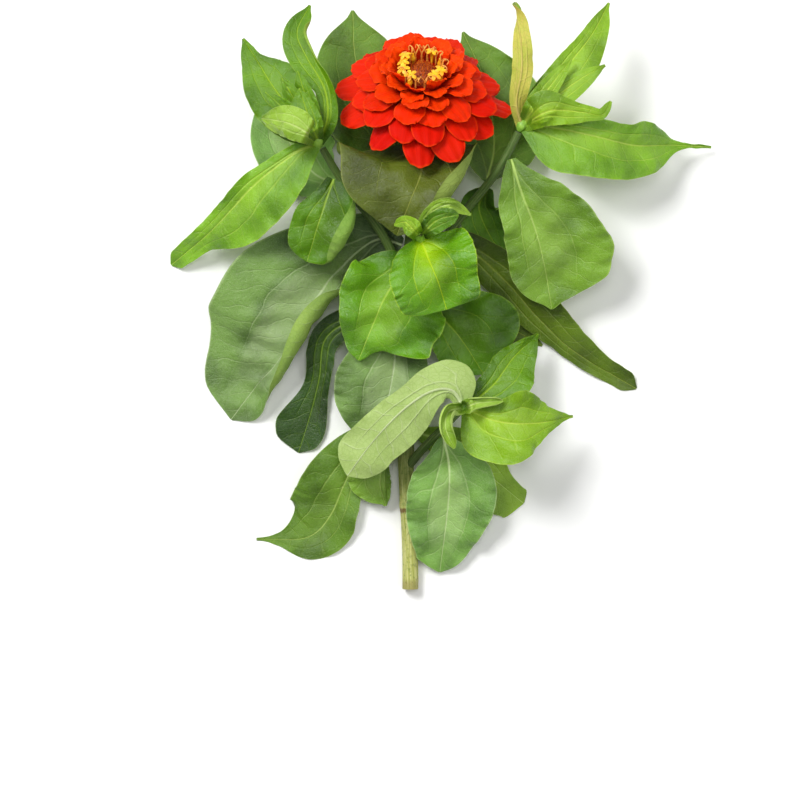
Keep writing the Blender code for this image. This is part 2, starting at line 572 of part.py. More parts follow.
def blade(grid, thick):
    """A closed thin solid round a middle surface, its two faces split into triangles alike."""
    rows, cols = grid.shape[:2]
    along_it, across = np.gradient(grid, axis=0), np.gradient(grid, axis=1)
    normal = unit(np.cross(across, along_it)) * thick / 2
    points = np.concatenate([(grid + normal).reshape(-1, 3), (grid - normal).reshape(-1, 3)])
    count = rows * cols
    faces = []
    for i in range(rows - 1):
        for j in range(cols - 1):
            a, b, c, d = i * cols + j, i * cols + j + 1, (i + 1) * cols + j + 1, (i + 1) * cols + j
            split = ((a, b, c), (a, c, d)) if j < cols // 2 else ((a, b, d), (b, c, d))
            for p, q, r in split:
                faces += [(p, q, r), (p + count, r + count, q + count)]
    edge = list(range(cols)) + [i * cols + cols - 1 for i in range(1, rows)]
    edge += [(rows - 1) * cols + j for j in range(cols - 2, -1, -1)]
    edge += [i * cols for i in range(rows - 2, 0, -1)]
    for p, q in zip(edge, edge[1:] + edge[:1]):
        faces += [(q, p, p + count), (q, p + count, q + count)]
    return points, faces


def lofted(rings):
    """A closed solid through rings of points, all with as many points, capped at both ends."""
    sides = len(rings[0])
    points = np.concatenate(rings)
    faces = [tuple(range(sides))[::-1]]
    for i in range(len(rings) - 1):
        for j in range(sides):
            k = (j + 1) % sides
            faces.append((i * sides + j, i * sides + k, (i + 1) * sides + k, (i + 1) * sides + j))
    faces.append(tuple((len(rings) - 1) * sides + j for j in range(sides)))
    return points, faces


def tube(axis, radii, sides):
    return lofted(list(stem_tube(axis, radii, sides)[:, ::-1]))


def turned(profile, sides, relief=None):
    """A solid turned round the bloom's axis from (radius, height) pairs, with relief(turn, k) on it."""
    rings = []
    for k, (radius, height) in enumerate(profile):
        turns = np.arange(sides) * 2 * np.pi / sides
        swell = [relief(turn, k) if relief else 1 for turn in turns]
        rings.append(np.array([bloom_point(radius * s, t, height) for s, t in zip(swell, turns)]))
    return lofted(rings)


def ball(middle, radius):
    """A small round bud."""
    rings = []
    turns = np.arange(BUD_SIDES) * 2 * np.pi / BUD_SIDES
    for tilt in np.radians((-75, -40, 0, 40, 75)):
        ring = np.column_stack([np.cos(turns), np.sin(turns), 0 * turns]) * radius * np.cos(tilt)
        rings.append(middle + ring + [0, 0, radius * np.sin(tilt)])
    return lofted(rings)


def coarse(grid, rows, cols):
    """The grid's rows and columns nearest to rows + 1 and cols + 1 evenly spread ones."""
    i = np.round(np.linspace(0, grid.shape[0] - 1, rows + 1)).astype(int)
    j = np.round(np.linspace(0, grid.shape[1] - 1, cols + 1)).astype(int)
    return grid[np.ix_(i, j)]


# ---------------------------------------------------------------- the part

def make_stem(lines, finish):
    """The main stem, and the thinner branches that spring from inside it."""
    pieces = []
    for name, (axis, radii) in lines.items():
        step, sides = (1, MAIN_SIDES) if name == "main" else (2, BRANCH_SIDES)
        pieces.append(tube(axis[::step], radii[::step], sides))
    fuse("stem", pieces, finish)


def make_leaves(leaves, finishes):
    for name, grid in leaves.items():
        if "shoot" not in LEAVES[name]:
            points, faces = blade(coarse(grid, *BIG_BLADE), LEAF_THICK)
            solid("leaf_" + name, points, faces, finishes["leaf"])


def make_shoots(lines, leaves, finishes):
    """Each young side shoot is its bud and leaves, joined."""
    for shoot in SHOOTS:
        pieces = [ball(bud_centre(shoot, lines), BUD_RADIUS)]
        for name, grid in leaves.items():
            if LEAVES[name].get("shoot") == shoot:
                size = BIG_BLADE if max(LEAVES[name]["left"]) > BIG_LEAF else SMALL_BLADE
                pieces.append(blade(coarse(grid, *size), LEAF_THICK))
        fuse("shoot_" + shoot, pieces, finishes["young_leaf"], "MANIFOLD")


def make_ray_florets(petals, finish):
    pieces = [turned(CORE_PROFILE, CORE_SIDES)]
    for number, grid in petals:
        rows = OUTER_PETAL_ROWS if number < OUTER_LAYERS else INNER_PETAL_ROWS
        pieces.append(blade(grid[rows, ::2], PETAL_THICK))
    fuse("ray_florets", pieces, finish, "MANIFOLD")


def make_disc_centre(finish):
    """The bristly middle: a dome whose rings of bumps stand for its packed florets."""
    def bumps(turn, k):
        return 1 + DISC_BUMP * (1 if (round(turn / (2 * np.pi) * DISC_SIDES) + k) % 2 else -1)
    profile = [(DISC_RADIUS * 0.9, DISC_FOOT)]
    for tilt in np.radians(DISC_TILTS):
        profile.append((DISC_RADIUS * np.cos(tilt), DISC_FOOT + DISC_RISE * np.sin(tilt)))
    points, faces = turned(profile, DISC_SIDES, bumps)
    solid("disc_centre", points, faces, finish)


def star(turn, reach, height, size, lean):
    """A five-lobed floret on its stalk, both as closed pieces."""
    out = bloom_point(1, turn, 0) - BLOOM_SEAT
    over = np.cross(BLOOM_AXIS, out)
    middle = bloom_point(reach, turn, height)
    face = BLOOM_AXIS * np.cos(lean) + out * np.sin(lean)
    along_it = np.cross(over, face)
    steps = np.arange(2 * LOBES)
    angles, radii = steps * np.pi / LOBES, np.where(steps % 2, LOBE_WAIST, 1.0) * size
    ring = middle + np.outer(radii * np.cos(angles), over) + np.outer(radii * np.sin(angles), -along_it)
    plate = lofted([ring - face * PLATE_HALF, ring + face * PLATE_HALF])
    foot = bloom_point(COLLAR_RADIUS, turn, COLLAR_FOOT + 0.5)
    axis = smooth_path([foot, (foot + middle) / 2 + out * 0.2, middle], len(STALK_RADII) - 1)
    stalk = tube(axis, np.array(STALK_RADII), STALK_SIDES)
    return plate, stalk


def make_disc_florets(finish):
    """Small yellow stars, standing in a ring round the middle on a thin collar."""
    inner, outer = COLLAR_RADIUS - COLLAR_HALF, COLLAR_RADIUS + COLLAR_HALF
    turns = np.arange(DISC_SIDES) * 2 * np.pi / DISC_SIDES
    rings = []
    for radius, height in ((inner, 0), (outer, 0), (outer, COLLAR_HIGH), (inner, COLLAR_HIGH)):
        rings.append(np.array([bloom_point(radius, t, COLLAR_FOOT + height) for t in turns]))
    points = np.concatenate(rings)
    index = np.arange(4 * DISC_SIDES).reshape(4, DISC_SIDES)
    beside, above = np.roll(index, -1, axis=1), np.roll(index, -1, axis=0)
    corners = np.stack([index, beside, np.roll(above, -1, axis=1), above], -1)
    faces = corners.reshape(-1, 4).tolist()
    pieces = [(points, faces)]
    for turn, reach, height, size, lean in star_places():
        pieces += star(turn, reach, height, size, lean)
    fuse("disc_florets", pieces, finish)


def make_involucre(finish):
    """The green cup under the petals, with its overlapping bracts in relief."""
    def scales(turn, k):
        swell = abs(np.sin(turn * BRACTS / 2 + (k % 2) * np.pi / 2))
        return 1 + BRACT_BUMP * swell * (0 < k < len(CUP_PROFILE) - 1)
    points, faces = turned(CUP_PROFILE, DISC_SIDES, scales)
    solid("involucre", points, faces, finish)


def main():
    clear_scene()
    finishes = {name: material(name) for name in COLOURS}
    lines, leaves, petals = lay_out()
    make_stem(lines, finishes["stem"])
    make_leaves(leaves, finishes)
    make_shoots(lines, leaves, finishes)
    make_involucre(finishes["stem"])
    make_ray_florets(petals, finishes["petal"])
    make_disc_centre(finishes["disc"])
    make_disc_florets(finishes["floret"])


main()
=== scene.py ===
"""The looks of one cut zinnia, lying on a table under soft studio light.

Lengths are in millimetres until a piece is made. X runs across the stem, Y along it from the cut end
to the bloom, and Z up from the table. The leaves and petals are laid out as in the part's source, and
each is then a finer and thinner blade, with its veins, than the solid that it replaces.
"""
from functools import cache
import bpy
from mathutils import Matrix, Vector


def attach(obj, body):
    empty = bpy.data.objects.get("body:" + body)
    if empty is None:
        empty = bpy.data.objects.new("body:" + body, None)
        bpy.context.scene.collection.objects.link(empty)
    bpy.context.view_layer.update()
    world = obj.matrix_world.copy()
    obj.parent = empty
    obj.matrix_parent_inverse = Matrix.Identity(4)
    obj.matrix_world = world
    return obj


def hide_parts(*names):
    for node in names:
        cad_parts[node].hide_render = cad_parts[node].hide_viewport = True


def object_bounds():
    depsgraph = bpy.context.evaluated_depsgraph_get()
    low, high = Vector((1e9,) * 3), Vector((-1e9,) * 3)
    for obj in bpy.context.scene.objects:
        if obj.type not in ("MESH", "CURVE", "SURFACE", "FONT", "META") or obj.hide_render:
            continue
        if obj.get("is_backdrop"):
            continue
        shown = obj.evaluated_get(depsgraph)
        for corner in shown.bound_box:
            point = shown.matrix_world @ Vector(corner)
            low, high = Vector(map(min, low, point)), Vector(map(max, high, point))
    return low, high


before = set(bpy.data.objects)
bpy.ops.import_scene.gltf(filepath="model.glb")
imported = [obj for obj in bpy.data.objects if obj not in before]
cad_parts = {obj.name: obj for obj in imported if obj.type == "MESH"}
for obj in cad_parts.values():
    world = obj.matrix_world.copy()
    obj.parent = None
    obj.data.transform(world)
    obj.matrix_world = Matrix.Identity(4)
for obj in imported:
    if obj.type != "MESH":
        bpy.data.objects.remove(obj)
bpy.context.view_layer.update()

from types import SimpleNamespace
import bpy
import numpy as np
from mathutils import Vector

MM = 0.001
ORIGIN = np.array([13.8, 126.1, 0.0])
UP = np.array([0.0, 0.0, 1.0])

# how finely a leaf is laid out, the half width of its tip, and where its end begins to round off
ROWS, HALF_COLS = 24, 6
TIP_HALF, ROUND_FROM = 0.6, 0.84
AXIS_STEPS = 16
LEAF_THICK = 0.8
# How leaves lie on the surface and on each other. The first LEAF_FREE of each stays where it springs,
# and over the next LEAF_EASE of it comes to lie on what is below.
PRESS = 1.2
LEAF_CLEAR, LEAF_FREE, LEAF_EASE = 1.7, 0.08, 0.15
SEAT_GAP, SEAM = 1.15, 0.4
BUD_RADIUS = 2.8
HEAP_CELL, HEAP_CORNER, HEAP_CELLS = 2.0, np.array([-130.0, -20.0]), (145, 150)
HEAP_SIDES = 12

# the stem and its branches: points along the middle, then radii evenly spread from foot to tip
AXES = {
    "main": ([(0.2, -5, 3.75), (0, 15, 5.0), (-1, 33, 6.6), (-2, 60, 8.8), (-1.5, 110, 12.8),
              (0.5, 150, 16), (3, 185, 16.5), (4.8, 199, 16.6), (5.4, 205.6, 18.2),
              (5.4, 209.33, 22.46)], (3.7, 3.6, 3.6, 3.4, 2.9, 2.8)),
    "upper_left": ([(-1, 125, 14), (-11, 152, 20), (-29, 176, 27), (-39, 192, 32)], (2.4, 2.0, 1.7)),
    "upper_right": ([(0, 125, 14), (18, 156, 20), (38, 181, 28), (48, 199, 33)], (2.4, 2.0, 1.7)),
    "centre": ([(0.4, 145, 16), (1.5, 148, 30), (3.6, 151, 44)], (2.0, 1.7, 1.4)),
    "lower_right": ([(-1.5, 50, 8), (9, 62, 20), (22, 75, 31)], (2.2, 1.8, 1.5)),
}
# what the names of the leaves of each young shoot start with
SHOOTS = {
    "upper_left": ("long_left", "ul_"), "upper_right": ("drip_right", "ur_"), "centre": ("c_",),
    "lower_right": ("pale_twisted", "lr_"),
}


def leaf(green, roughness, shade, spine, left, right, roll=0, fold_left=8, fold_right=8, curl_left=0,
         curl_right=0, crisp=1.6, wave=1.0, waves=2.5, blunt=ROUND_FROM, gap=SEAT_GAP, crumple=0.3):
    """One leaf. Angles are in degrees, and several values are spread evenly from base to tip.

    green, roughness, shade: its colours in GREENS, and how much painted shade darkens it towards its stalk,
    where other leaves hang over it
    spine: points along the middle, base first; a young leaf starts at its shoot's bud, which is not
    among them
    left, right: half widths, as seen with the face up
    roll: turn about the spine; at 180 the underside shows
    fold_, curl_, crisp: how far each half rises in a straight slope, or rolls up towards its
    margin, and how near the margin
    wave, waves: height and number of the margin's ripples
    blunt: where along the leaf its end begins to round off
    gap: how far it starts from the stem
    crumple: how far its flesh is crumpled, in millimetres
    """
    return SimpleNamespace(**locals())


# the leaves in the order in which they lie on each other; STEM, BLOOM and BRANCH stand among them
LEAVES = {
    # on the surface, under all else
    "back_left": leaf("blue", 0.5, 0, [(-30, 177, 24), (-44, 183, 12), (-56, 201, 0), (-59.3, 234.5, -1)],
        (3, 12, 17, 16, 9, 1), (3, 15, 18, 16, 9, 1)),
    "behind_left": leaf("old", 0.5, 0.8, [(-1, 187, 12), (-12, 203, 5), (-24, 232, 0), (-26, 256.8, -1)],
        (1.6, 17, 23, 22, 15, 1), (1.6, 11, 20, 22, 16, 1), gap=1.3),
    "behind_right": leaf("old", 0.5, 0.6, [(34, 179, 22), (38, 196, 7), (35, 222, 0), (24, 247, -1)],
        (2.5, 20, 23, 21, 14, 1), (2.5, 17, 22, 22.5, 12.5, 1)),
    "under_right": leaf("deep", 0.42, 0.8, [(33, 178, 20), (31, 167, 15), (35, 156, 11.5), (43, 144, 8.5)],
        (2.5, 8, 10, 9, 6, 1), (2.5, 7, 9.5, 9.5, 6, 1)),
    "low_right": leaf("olive", 0.44, 1, [(2, 112, 11), (24, 116, 6), (44, 113, 1), (60, 105, -1)],
        (2.5, 9, 12, 12, 8, 1), (2.5, 9, 12, 12, 7, 1)),
    "foot_right": leaf("tender", 0.42, 0, [(2, 66, 8), (18, 60, 6), (36, 46, 2), (51.5, 33.5, -1)],
        (2, 7, 12, 12, 6.5, 5), (2, 8, 13, 15.5, 14, 9), blunt=0.95),
    "low_left": leaf("dark", 0.32, 0.9, [(-4, 113, 11), (-24, 116, 12), (-38, 108, 9), (-41, 90, 5),
        (-45, 74, 2), (-50.5, 56.5, 0)], (2.5, 6, 7, 6, 5.5, 8.5, 9.5), (2.5, 6, 7, 6.5, 7, 13.5, 16)),
    "foot_left": leaf("old", 0.4, 0.5, [(-4, 66, 8), (-20, 61, 9), (-29, 44, 6), (-36, 28, 2), (-47, 18, -1),
        (-69.5, 17.3, -1)], (2.5, 5, 7, 8.5, 11, 13.5, 10.5, 3.5, 0.7),
        (2.5, 7, 14, 18.5, 20, 19.5, 16.5, 4, 0.7), crumple=0.8),
    "big_left": leaf("grey", 0.36, 0.95, [(-3, 150, 14), (-16, 152, 12.5), (-34, 137, 11), (-47, 119, 8),
        (-58, 100, 4), (-70, 86, 0), (-81, 71.5, -1)], (3, 13, 20, 23, 22, 18, 14, 10),
        (3, 16, 28, 39, 40.5, 38.5, 26.5, 20), fold_left=(0, 12, 35, 40, 30, 8),
        curl_left=(0, 40, 140, 145, 90, 0), waves=2, blunt=0.88, crumple=1.1),
    "long_right": leaf("olive", 0.38, 0.8, [(3, 148, 14), (14, 150, 13), (26, 148, 12), (44, 133, 10),
        (60, 115, 8), (76, 101, 5), (102.5, 85.5, -1)], (2.5, 8, 12, 15, 12, 7.5, 5),
        (2.5, 7, 9, 8.5, 6, 4.5, 4), roll=(0, 20, 28, 20), blunt=0.96, crumple=0.5),
    "STEM": ("main", "upper_left", "upper_right"),
    "BLOOM": (),
    # middle
    "small_low": leaf("soft", 0.4, 0.6, [(-5, 57, 9), (-11.5, 52.5, 10), (-13.5, 43, 8.5), (-11, 32.5, 5)],
        (1.5, 2, 4, 5, 4, 1), (1.5, 6.5, 13.5, 14, 8, 1)),
    "centre_left": leaf("grey", 0.42, 0.5, [(-2, 119, 16), (-6, 106, 20), (-8, 90, 20), (-12, 72, 18),
        (-18, 58, 13)], (2, 12, 16, 17, 14, 3), (2, 16, 24, 25, 20, 6), crumple=0.6),
    "centre_right": leaf("deep", 0.34, 0.8, [(2, 119, 15), (10, 120, 19), (21, 110, 20), (33, 92, 15)],
        (2.5, 11, 22, 28, 24, 8), (2.5, 9, 12, 14, 13, 4), crumple=1),
    # upper
    "curled_left": leaf("deep", 0.28, 0.7, [(-31, 181, 28), (-37, 170, 31), (-41, 158, 30), (-46, 142, 24)],
        (3, 19, 28, 27, 20, 7), (3, 6, 11, 12, 11, 6), fold_left=(8, 0, 0, 0, 8),
        curl_left=(20, 150, 205, 190, 60), crisp=2.1, crumple=1),
    "glossy_centre": leaf("glossy", 0.26, 0.5, [(0.5, 143, 24), (-5, 136, 30), (-13, 122, 34), (-23, 98, 28)],
        (3, 14, 22, 28.5, 30, 28.5, 27, 8, 2), (3, 12, 18, 21, 20, 17.5, 14, 10, 4),
        wave=2.6, waves=3, blunt=0.93, gap=0.85, crumple=1.9),
    "big_right": leaf("soft", 0.3, 0.5, [(43, 189, 29), (48.5, 175, 34), (55, 158, 30), (60, 140, 24),
        (63.5, 121, 17)], (2, 6, 11.5, 18, 21.5, 26, 28.5, 31, 32.5, 30, 26.5, 13, 2),
        (2, 7, 12, 13.5, 14.5, 15.5, 15.5, 11, 1), blunt=0.9, crumple=0.9),
    "lower_shoot_back": leaf("sap", 0.24, 0.6, [(25, 78, 27), (37, 87, 25.5), (46, 99, 22), (57.5, 110, 16)],
        (2.5, 6, 7, 7, 4, 1), (2.5, 10, 14, 14, 8, 1)),
    "pale_twisted": leaf("pale", 0.45, 0.3, [(18.5, 84.5, 36), (9, 84, 37.5), (-3, 76, 36), (-16, 62.5, 31.5),
        (-28, 46.5, 26)], (3, 13, 11, 8.5, 9, 10, 11, 11.5, 5), (3, 4, 8, 12, 14, 14, 12.5, 11, 5),
        roll=180, blunt=0.93, crumple=0.5),
    "BRANCH": ("lower_right",),
    "front_low": leaf("blue", 0.34, 0.4, [(17, 66, 18), (17.5, 50, 17), (17, 32, 12), (13.5, 2.5, 2)],
        (2.5, 15, 21, 21, 17, 11.5, 5), (2.5, 13, 18, 19, 17.5, 13, 6), blunt=0.88, gap=1.3, crumple=0.7),
    "under_bloom": leaf("bronze", 0.36, 0.9, [(6, 194, 24), (5, 182, 40), (0, 168, 45), (-6, 153, 41)],
        (6, 22, 30, 30, 13, 4), (6, 31, 39, 36, 28, 6), curl_left=(0, 0, 95, 185, 110, 0),
        crisp=2.2, crumple=0.9),
    # young side shoots
    "long_left": leaf("mid", 0.3, 0.3, [(-52, 189, 35), (-70, 175, 32), (-88, 157, 18), (-108, 141.5, 0)],
        (2.5, 12, 17, 19, 18.5, 15, 7, 5, 4), (2.5, 4, 5, 6.5, 6, 6, 5.5, 5, 4), blunt=0.94, crumple=0.7),
    "drip_right": leaf("mid", 0.3, 0.3, [(62, 201, 37), (80, 197.5, 36), (100, 193.8, 27), (118, 194.8, 14),
        (136, 194.5, 5)], (2.5, 6, 8, 8.5, 8.5, 8.5, 11, 9, 2.5, 0.8, 0.4),
        (2.5, 15, 19, 18.5, 18, 16.5, 14, 10.5, 3.5, 0.8, 0.4), crumple=0.7),
    "ul_1": leaf("sap", 0.32, 0.5, [(-49, 204, 38), (-60, 218, 37), (-68, 231, 31), (-74.5, 241.5, 24)],
        (2.5, 11, 14, 12, 7, 1.5), (2.5, 7, 11, 12, 3, 1.5)),
    "ul_2": leaf("sap", 0.32, 0.5, [(-36.5, 205, 41), (-38, 218, 44), (-46, 232, 43), (-50, 243, 39),
        (-44.5, 255.5, 32)], (2.5, 5, 4, 7, 8, 5, 1), (2.5, 4.5, 4.5, 5.5, 8, 8, 1),
        curl_right=(0, 0, 60, 130, 130, 40)),
    "ul_5": leaf("sap", 0.34, 0.5, [(-43.5, 206, 42), (-49.5, 225, 41)], (2, 4, 5, 1), (2, 4, 4, 1)),
    "ul_6": leaf("sap", 0.34, 0.5, [(-48, 208, 44), (-56.7, 222.5, 44)], (2, 5, 5, 1), (2, 5, 4, 1)),
    "ul_7": leaf("sap", 0.34, 0.5, [(-52, 205, 44), (-63.8, 216, 43)], (2, 5, 4, 1), (2, 5, 4, 1)),
    "ul_3": leaf("sap", 0.34, 0.5, [(-44, 203, 43), (-48.7, 217, 44)], (2, 8.5, 8, 1), (2, 5, 4.5, 1)),
    "ul_4": leaf("tender", 0.34, 0.2, [(-52, 201, 42), (-65.5, 204.5, 41)], (2, 6, 6, 2), (2, 7, 7.5, 2)),
    "ur_1": leaf("spring", 0.34, 0.3, [(60, 216, 38), (72, 231, 39), (81, 243, 35), (88.5, 257, 28)],
        (2.5, 6, 6, 5, 4, 1), (2.5, 8, 13, 11, 6, 1)),
    "ur_2": leaf("blush", 0.36, 0.2, [(47, 212, 43), (49, 226, 48), (48.5, 240, 46), (46.5, 256, 40)],
        (2.5, 4, 5, 5, 4.5, 6), (2.5, 3, 4, 4, 3, 5), roll=(180, 180, 180, 180, 150, 20)),
    "ur_4": leaf("spring", 0.34, 0.2, [(62, 212, 42), (73, 220.5, 42), (86, 228, 37)], (2, 5, 4, 1),
        (2, 6, 6, 1)),
    "ur_5": leaf("spring", 0.34, 0.2, [(59, 215, 44), (71, 230.5, 45)], (2, 5, 4, 1), (2, 5, 4, 1)),
    "ur_3": leaf("spring", 0.34, 0.2, [(62, 207.5, 43), (76, 207, 45), (84.5, 206, 43), (88.5, 212, 43)],
        (2.5, 8, 9.5, 5.5, 3.5, 3, 2.5), (2.5, 5, 6.5, 6.5, 4.5, 2, 2)),
    "c_1": leaf("lime", 0.26, 0, [(8, 142, 55), (12, 132, 57), (16, 120, 51)],
        (2.5, 18, 21, 20.5, 18, 17, 14.5), (2.5, 13, 18, 20, 20.5, 19, 12),
        wave=1.6, blunt=0.9, crumple=1.4),
    "c_2": leaf("tender", 0.36, 0.2, [(8, 161, 54), (17, 165.5, 55), (26.5, 161.5, 51)], (2, 3, 3, 1),
        (2, 3, 3, 1)),
    "c_3": leaf("deep", 0.34, 0.8, [(12, 159, 51), (21, 161, 47)], (2, 4, 4, 2), (2, 5, 5, 2)),
    "c_4": leaf("spring", 0.34, 0.2, [(-2, 158, 52), (-7, 157, 51)], (2, 4, 3, 1), (2, 4, 3, 1)),
    "lr_1": leaf("spring", 0.28, 0, [(38, 71, 40), (55, 70, 38), (72.5, 73, 26)],
        (2.5, 8, 10.5, 15, 11, 4.5, 0.7), (2.5, 16, 18.5, 17, 8, 2.5, 0.7), crumple=1.1),
    "lr_2": leaf("tender", 0.36, 0.1, [(17, 75, 43), (15.5, 68, 48), (19.5, 59, 45)], (2, 6, 6, 1.5),
        (2, 5, 5, 1.5), curl_left=(60, 150, 60), curl_right=(60, 150, 60)),
    "lr_3": leaf("tender", 0.36, 0.1, [(30, 79, 42), (41, 80, 43)], (2, 5, 4, 2), (2, 5, 4, 2),
        curl_left=(30, 120, 120), curl_right=(30, 120, 120)),
}

BLOOM_LEAN = np.radians(50)
BLOOM_SEAT = np.array([5.4, 210.2, 23.5])
BLOOM_AXIS = np.array([0.0, np.cos(BLOOM_LEAN), np.sin(BLOOM_LEAN)])
BLOOM_SIDE = np.array([1.0, 0.0, 0.0])
BLOOM_BACK = np.cross(BLOOM_AXIS, BLOOM_SIDE)
PETAL_ROWS, PETAL_HALF = 8, 2
PETAL_CLEAR, PETAL_STAGGER, PETAL_BASE_LIFT, PETAL_ROUND = 1.2, 0.9, 0.6, 0.34
PETAL_WIDTHS = (0.40, 0.66, 0.92, 1.06, 1.02, 0.66)
PETAL_SHORTER, PETAL_SWAY, PETAL_LIFT, PETAL_TWIST = 0.16, 0.10, 1.8, 15
# outermost first: how many, the first one's place, (radius, height) of base and tip over the bloom's
# seat, half width, rise in the middle, and hollow across as a share of the half width
PETAL_LAYERS = [
    (12, 0.75, (9, 10.5), (40.5, 2.5), 7.2, 3.0, -0.12),
    (12, 0.3, (9, 13), (36, 10), 7.0, 2.8, -0.10),
    (11, 0.6, (9, 15.3), (30.5, 17), 6.5, 2.0, -0.04),
    (10, 0.1, (9, 17.3), (25.5, 22), 5.8, 1.6, 0.04),
    (9, 0.4, (9.3, 19), (20.5, 26), 5.0, 0.8, 0.16),
    (7, 0.9, (9.8, 19.4), (15.5, 29), 4.3, 0.3, 0.26),
]
# (radius, height) from the bottom up
CORE_PROFILE = [(9.6, 8.6), (10.8, 12), (10.8, 18.5), (10.0, 21.0)]
CUP_PROFILE = [(3.5, 0), (7.5, 1.6), (10.0, 3.6), (11.8, 6.0), (12.2, 8.2)]
CORE_SIDES = 48
DISC_RADIUS, DISC_FOOT, DISC_RISE = 7.6, 21.3, 5.2
DOME_SIDES, DOME_TILTS = 40, np.radians(np.linspace(0, 88, 8))
DOME_FOOT, DOME_HALF, DOME_RISE = (DISC_RADIUS * 0.9, DISC_FOOT - 0.2), DISC_RADIUS * 0.88, DISC_RISE * 0.8
# bristles: how many, how far out they stand, and the least and most of their reach and half width
BRISTLES, BRISTLE_SPREAD, BRISTLE_REACH, BRISTLE_HALF = 110, DISC_RADIUS * 0.92, (1.0, 2.0), (0.32, 0.5)
BRISTLE_SINK, BRISTLE_SWAY, BRISTLE_BOW = 0.6, 0.06, 0.3
COLLAR_RADIUS, COLLAR_FOOT = 8.9, 21.5
STAR_HEIGHT, STAR_THICK, STAR_LOBES, STAR_SIZE = 28.0, 0.4, 5, (7, 61)
# steps along, sides and half widths of a star's stalk, and of a bud between the stars
STALK_STEPS, STALK_SIDES, STALK_HALVES = 8, 12, np.linspace(0.5, 0.85, 9)
BUD_STEPS, BUD_SIDES, BUD_HALVES = 10, 10, 0.45 + 0.75 * np.sin(np.linspace(0.1, 3.0, 11)) ** 3
# where the stars, the buds between them and the styles stand on their ring, in degrees
STAR_TURNS = (62, 146, 171, 197, 232, 308, 334)
STAR_BUDS = (30, 118, 195, 232, 311)
STYLE_TURNS = (22, 48, 76, 92, 110, 128, 214, 250, 276, 292, 352)
# the loop in which a style's arm curls back: (out, up) of its points, and the arm's half widths
STYLE_LOOP = ((0.1, 0.0), (0.5, 0.8), (1.6, 0.9), (2.2, 0.0), (1.5, -0.9))
STYLE_STEPS, STYLE_SIDES = 26, 8
STYLE_RISE, STYLE_SWING, STYLE_SIZE = (6.2, 7.6), (0.10, 0.16), (0.9, 1.3)
STYLE_HALVES = np.linspace(0.38, 0.20, STYLE_STEPS + 1)
# bracts of the cup: rings of them, how many to each, thickness, length counted in points of the
# cup's profile, half width as an angle, how far off the cup they start and how much more they end
BRACT_RINGS, BRACTS, BRACT_THICK, BRACT_LENGTH = 3, 12, 0.3, 2.2
BRACT_HALF, BRACT_OFF, BRACT_FLARE = 0.30, 0.25, 0.35
# tight scales of the bud on a young shoot
BUD_SCALES, SCALE_THICK, SCALE_LENGTH, SCALE_HALF = 7, 0.35, 5.6, 1.7
# points along and across of a bract or scale
BRACT_SIZE, SCALE_SIZE = (9, 9), (9, 7)
GOLDEN_TURN = np.pi * (3 - 5**0.5)
# where leaves sprang from the stem, and the scar that one left, in millimetres from its foot
STEM_JOINTS, SCAR_PLACE = (38, 63, 116, 152), 36.0
STEM_SIDES, STEM_RIBS, STEM_FINER = 36, 8, 20
JOINT_SWELL, JOINT_LENGTH, RIB_HEIGHT, RIB_UNEVEN = 0.10, 2.5, 0.018, 0.008
# how far along the stem's colours a branch begins
BRANCH_START = 90
PETAL_SEED, STAR_SEED, DISC_SEED, STYLE_SEED, STEM_SEED = 5, 3, 11, 23, 31

# points along and across of a leaf, of one no wider than SMALL_LEAF to a side, and of a petal
LEAF_SIZE, SMALL_SIZE, PETAL_SIZE = (84, 52), (44, 24), (26, 16)
SMALL_LEAF = 9
BLADE_THICK, KEEL = 0.34, 0.55
PETAL_THICK, PETAL_THINNER = 0.34, 0.16
VEIN_DEPTH, PUFF, FLUTTER = 0.26, 0.10, 0.7
# the plane waves that crumple a leaf: how many, and their shortest and longest length
SWELLS, SWELL_LENGTHS = 9, (11, 30)
# the two lines that leave the midrib: how far out they get, and the power of their curve
LATERAL_OUT, LATERAL_CURVE = 0.47, 0.62
# the side veins: millimetres from one to the next, slant, power of its curve, and offset of the sides
VEIN_STEP, VEIN_SLANT, VEIN_CURVE, VEIN_OFFSET = 8.5, 0.85, 0.9, 0.21
# the lowest that the upper and the lower face of a blade come to the table
FACE_LOWEST = (0.25, 0.02)
SHARP_ANGLE = np.radians(50)
# what a mesh's maps hold is millimetres over this
MAP_SCALE = 100.0

TABLE_HALF = 3.0
CAMERA_HEIGHT, CAMERA_FOCUS, SENSOR = 1.6, 0.025, 36
VIEW_WIDTH, VIEW_CENTRE = 0.3568, (-4.5, 80.3, 0)
SKY = 0.24
# name, place in metres, size and power of each light; all are aimed at the origin
LIGHTS = [
    ("key", (-0.60, 0.62, 1.15), 0.5, 18.0),
    ("fill", (0.75, -0.1, 1.0), 0.9, 4.0),
    ("top", (0.05, 0.25, 1.9), 0.5, 7.0),
]
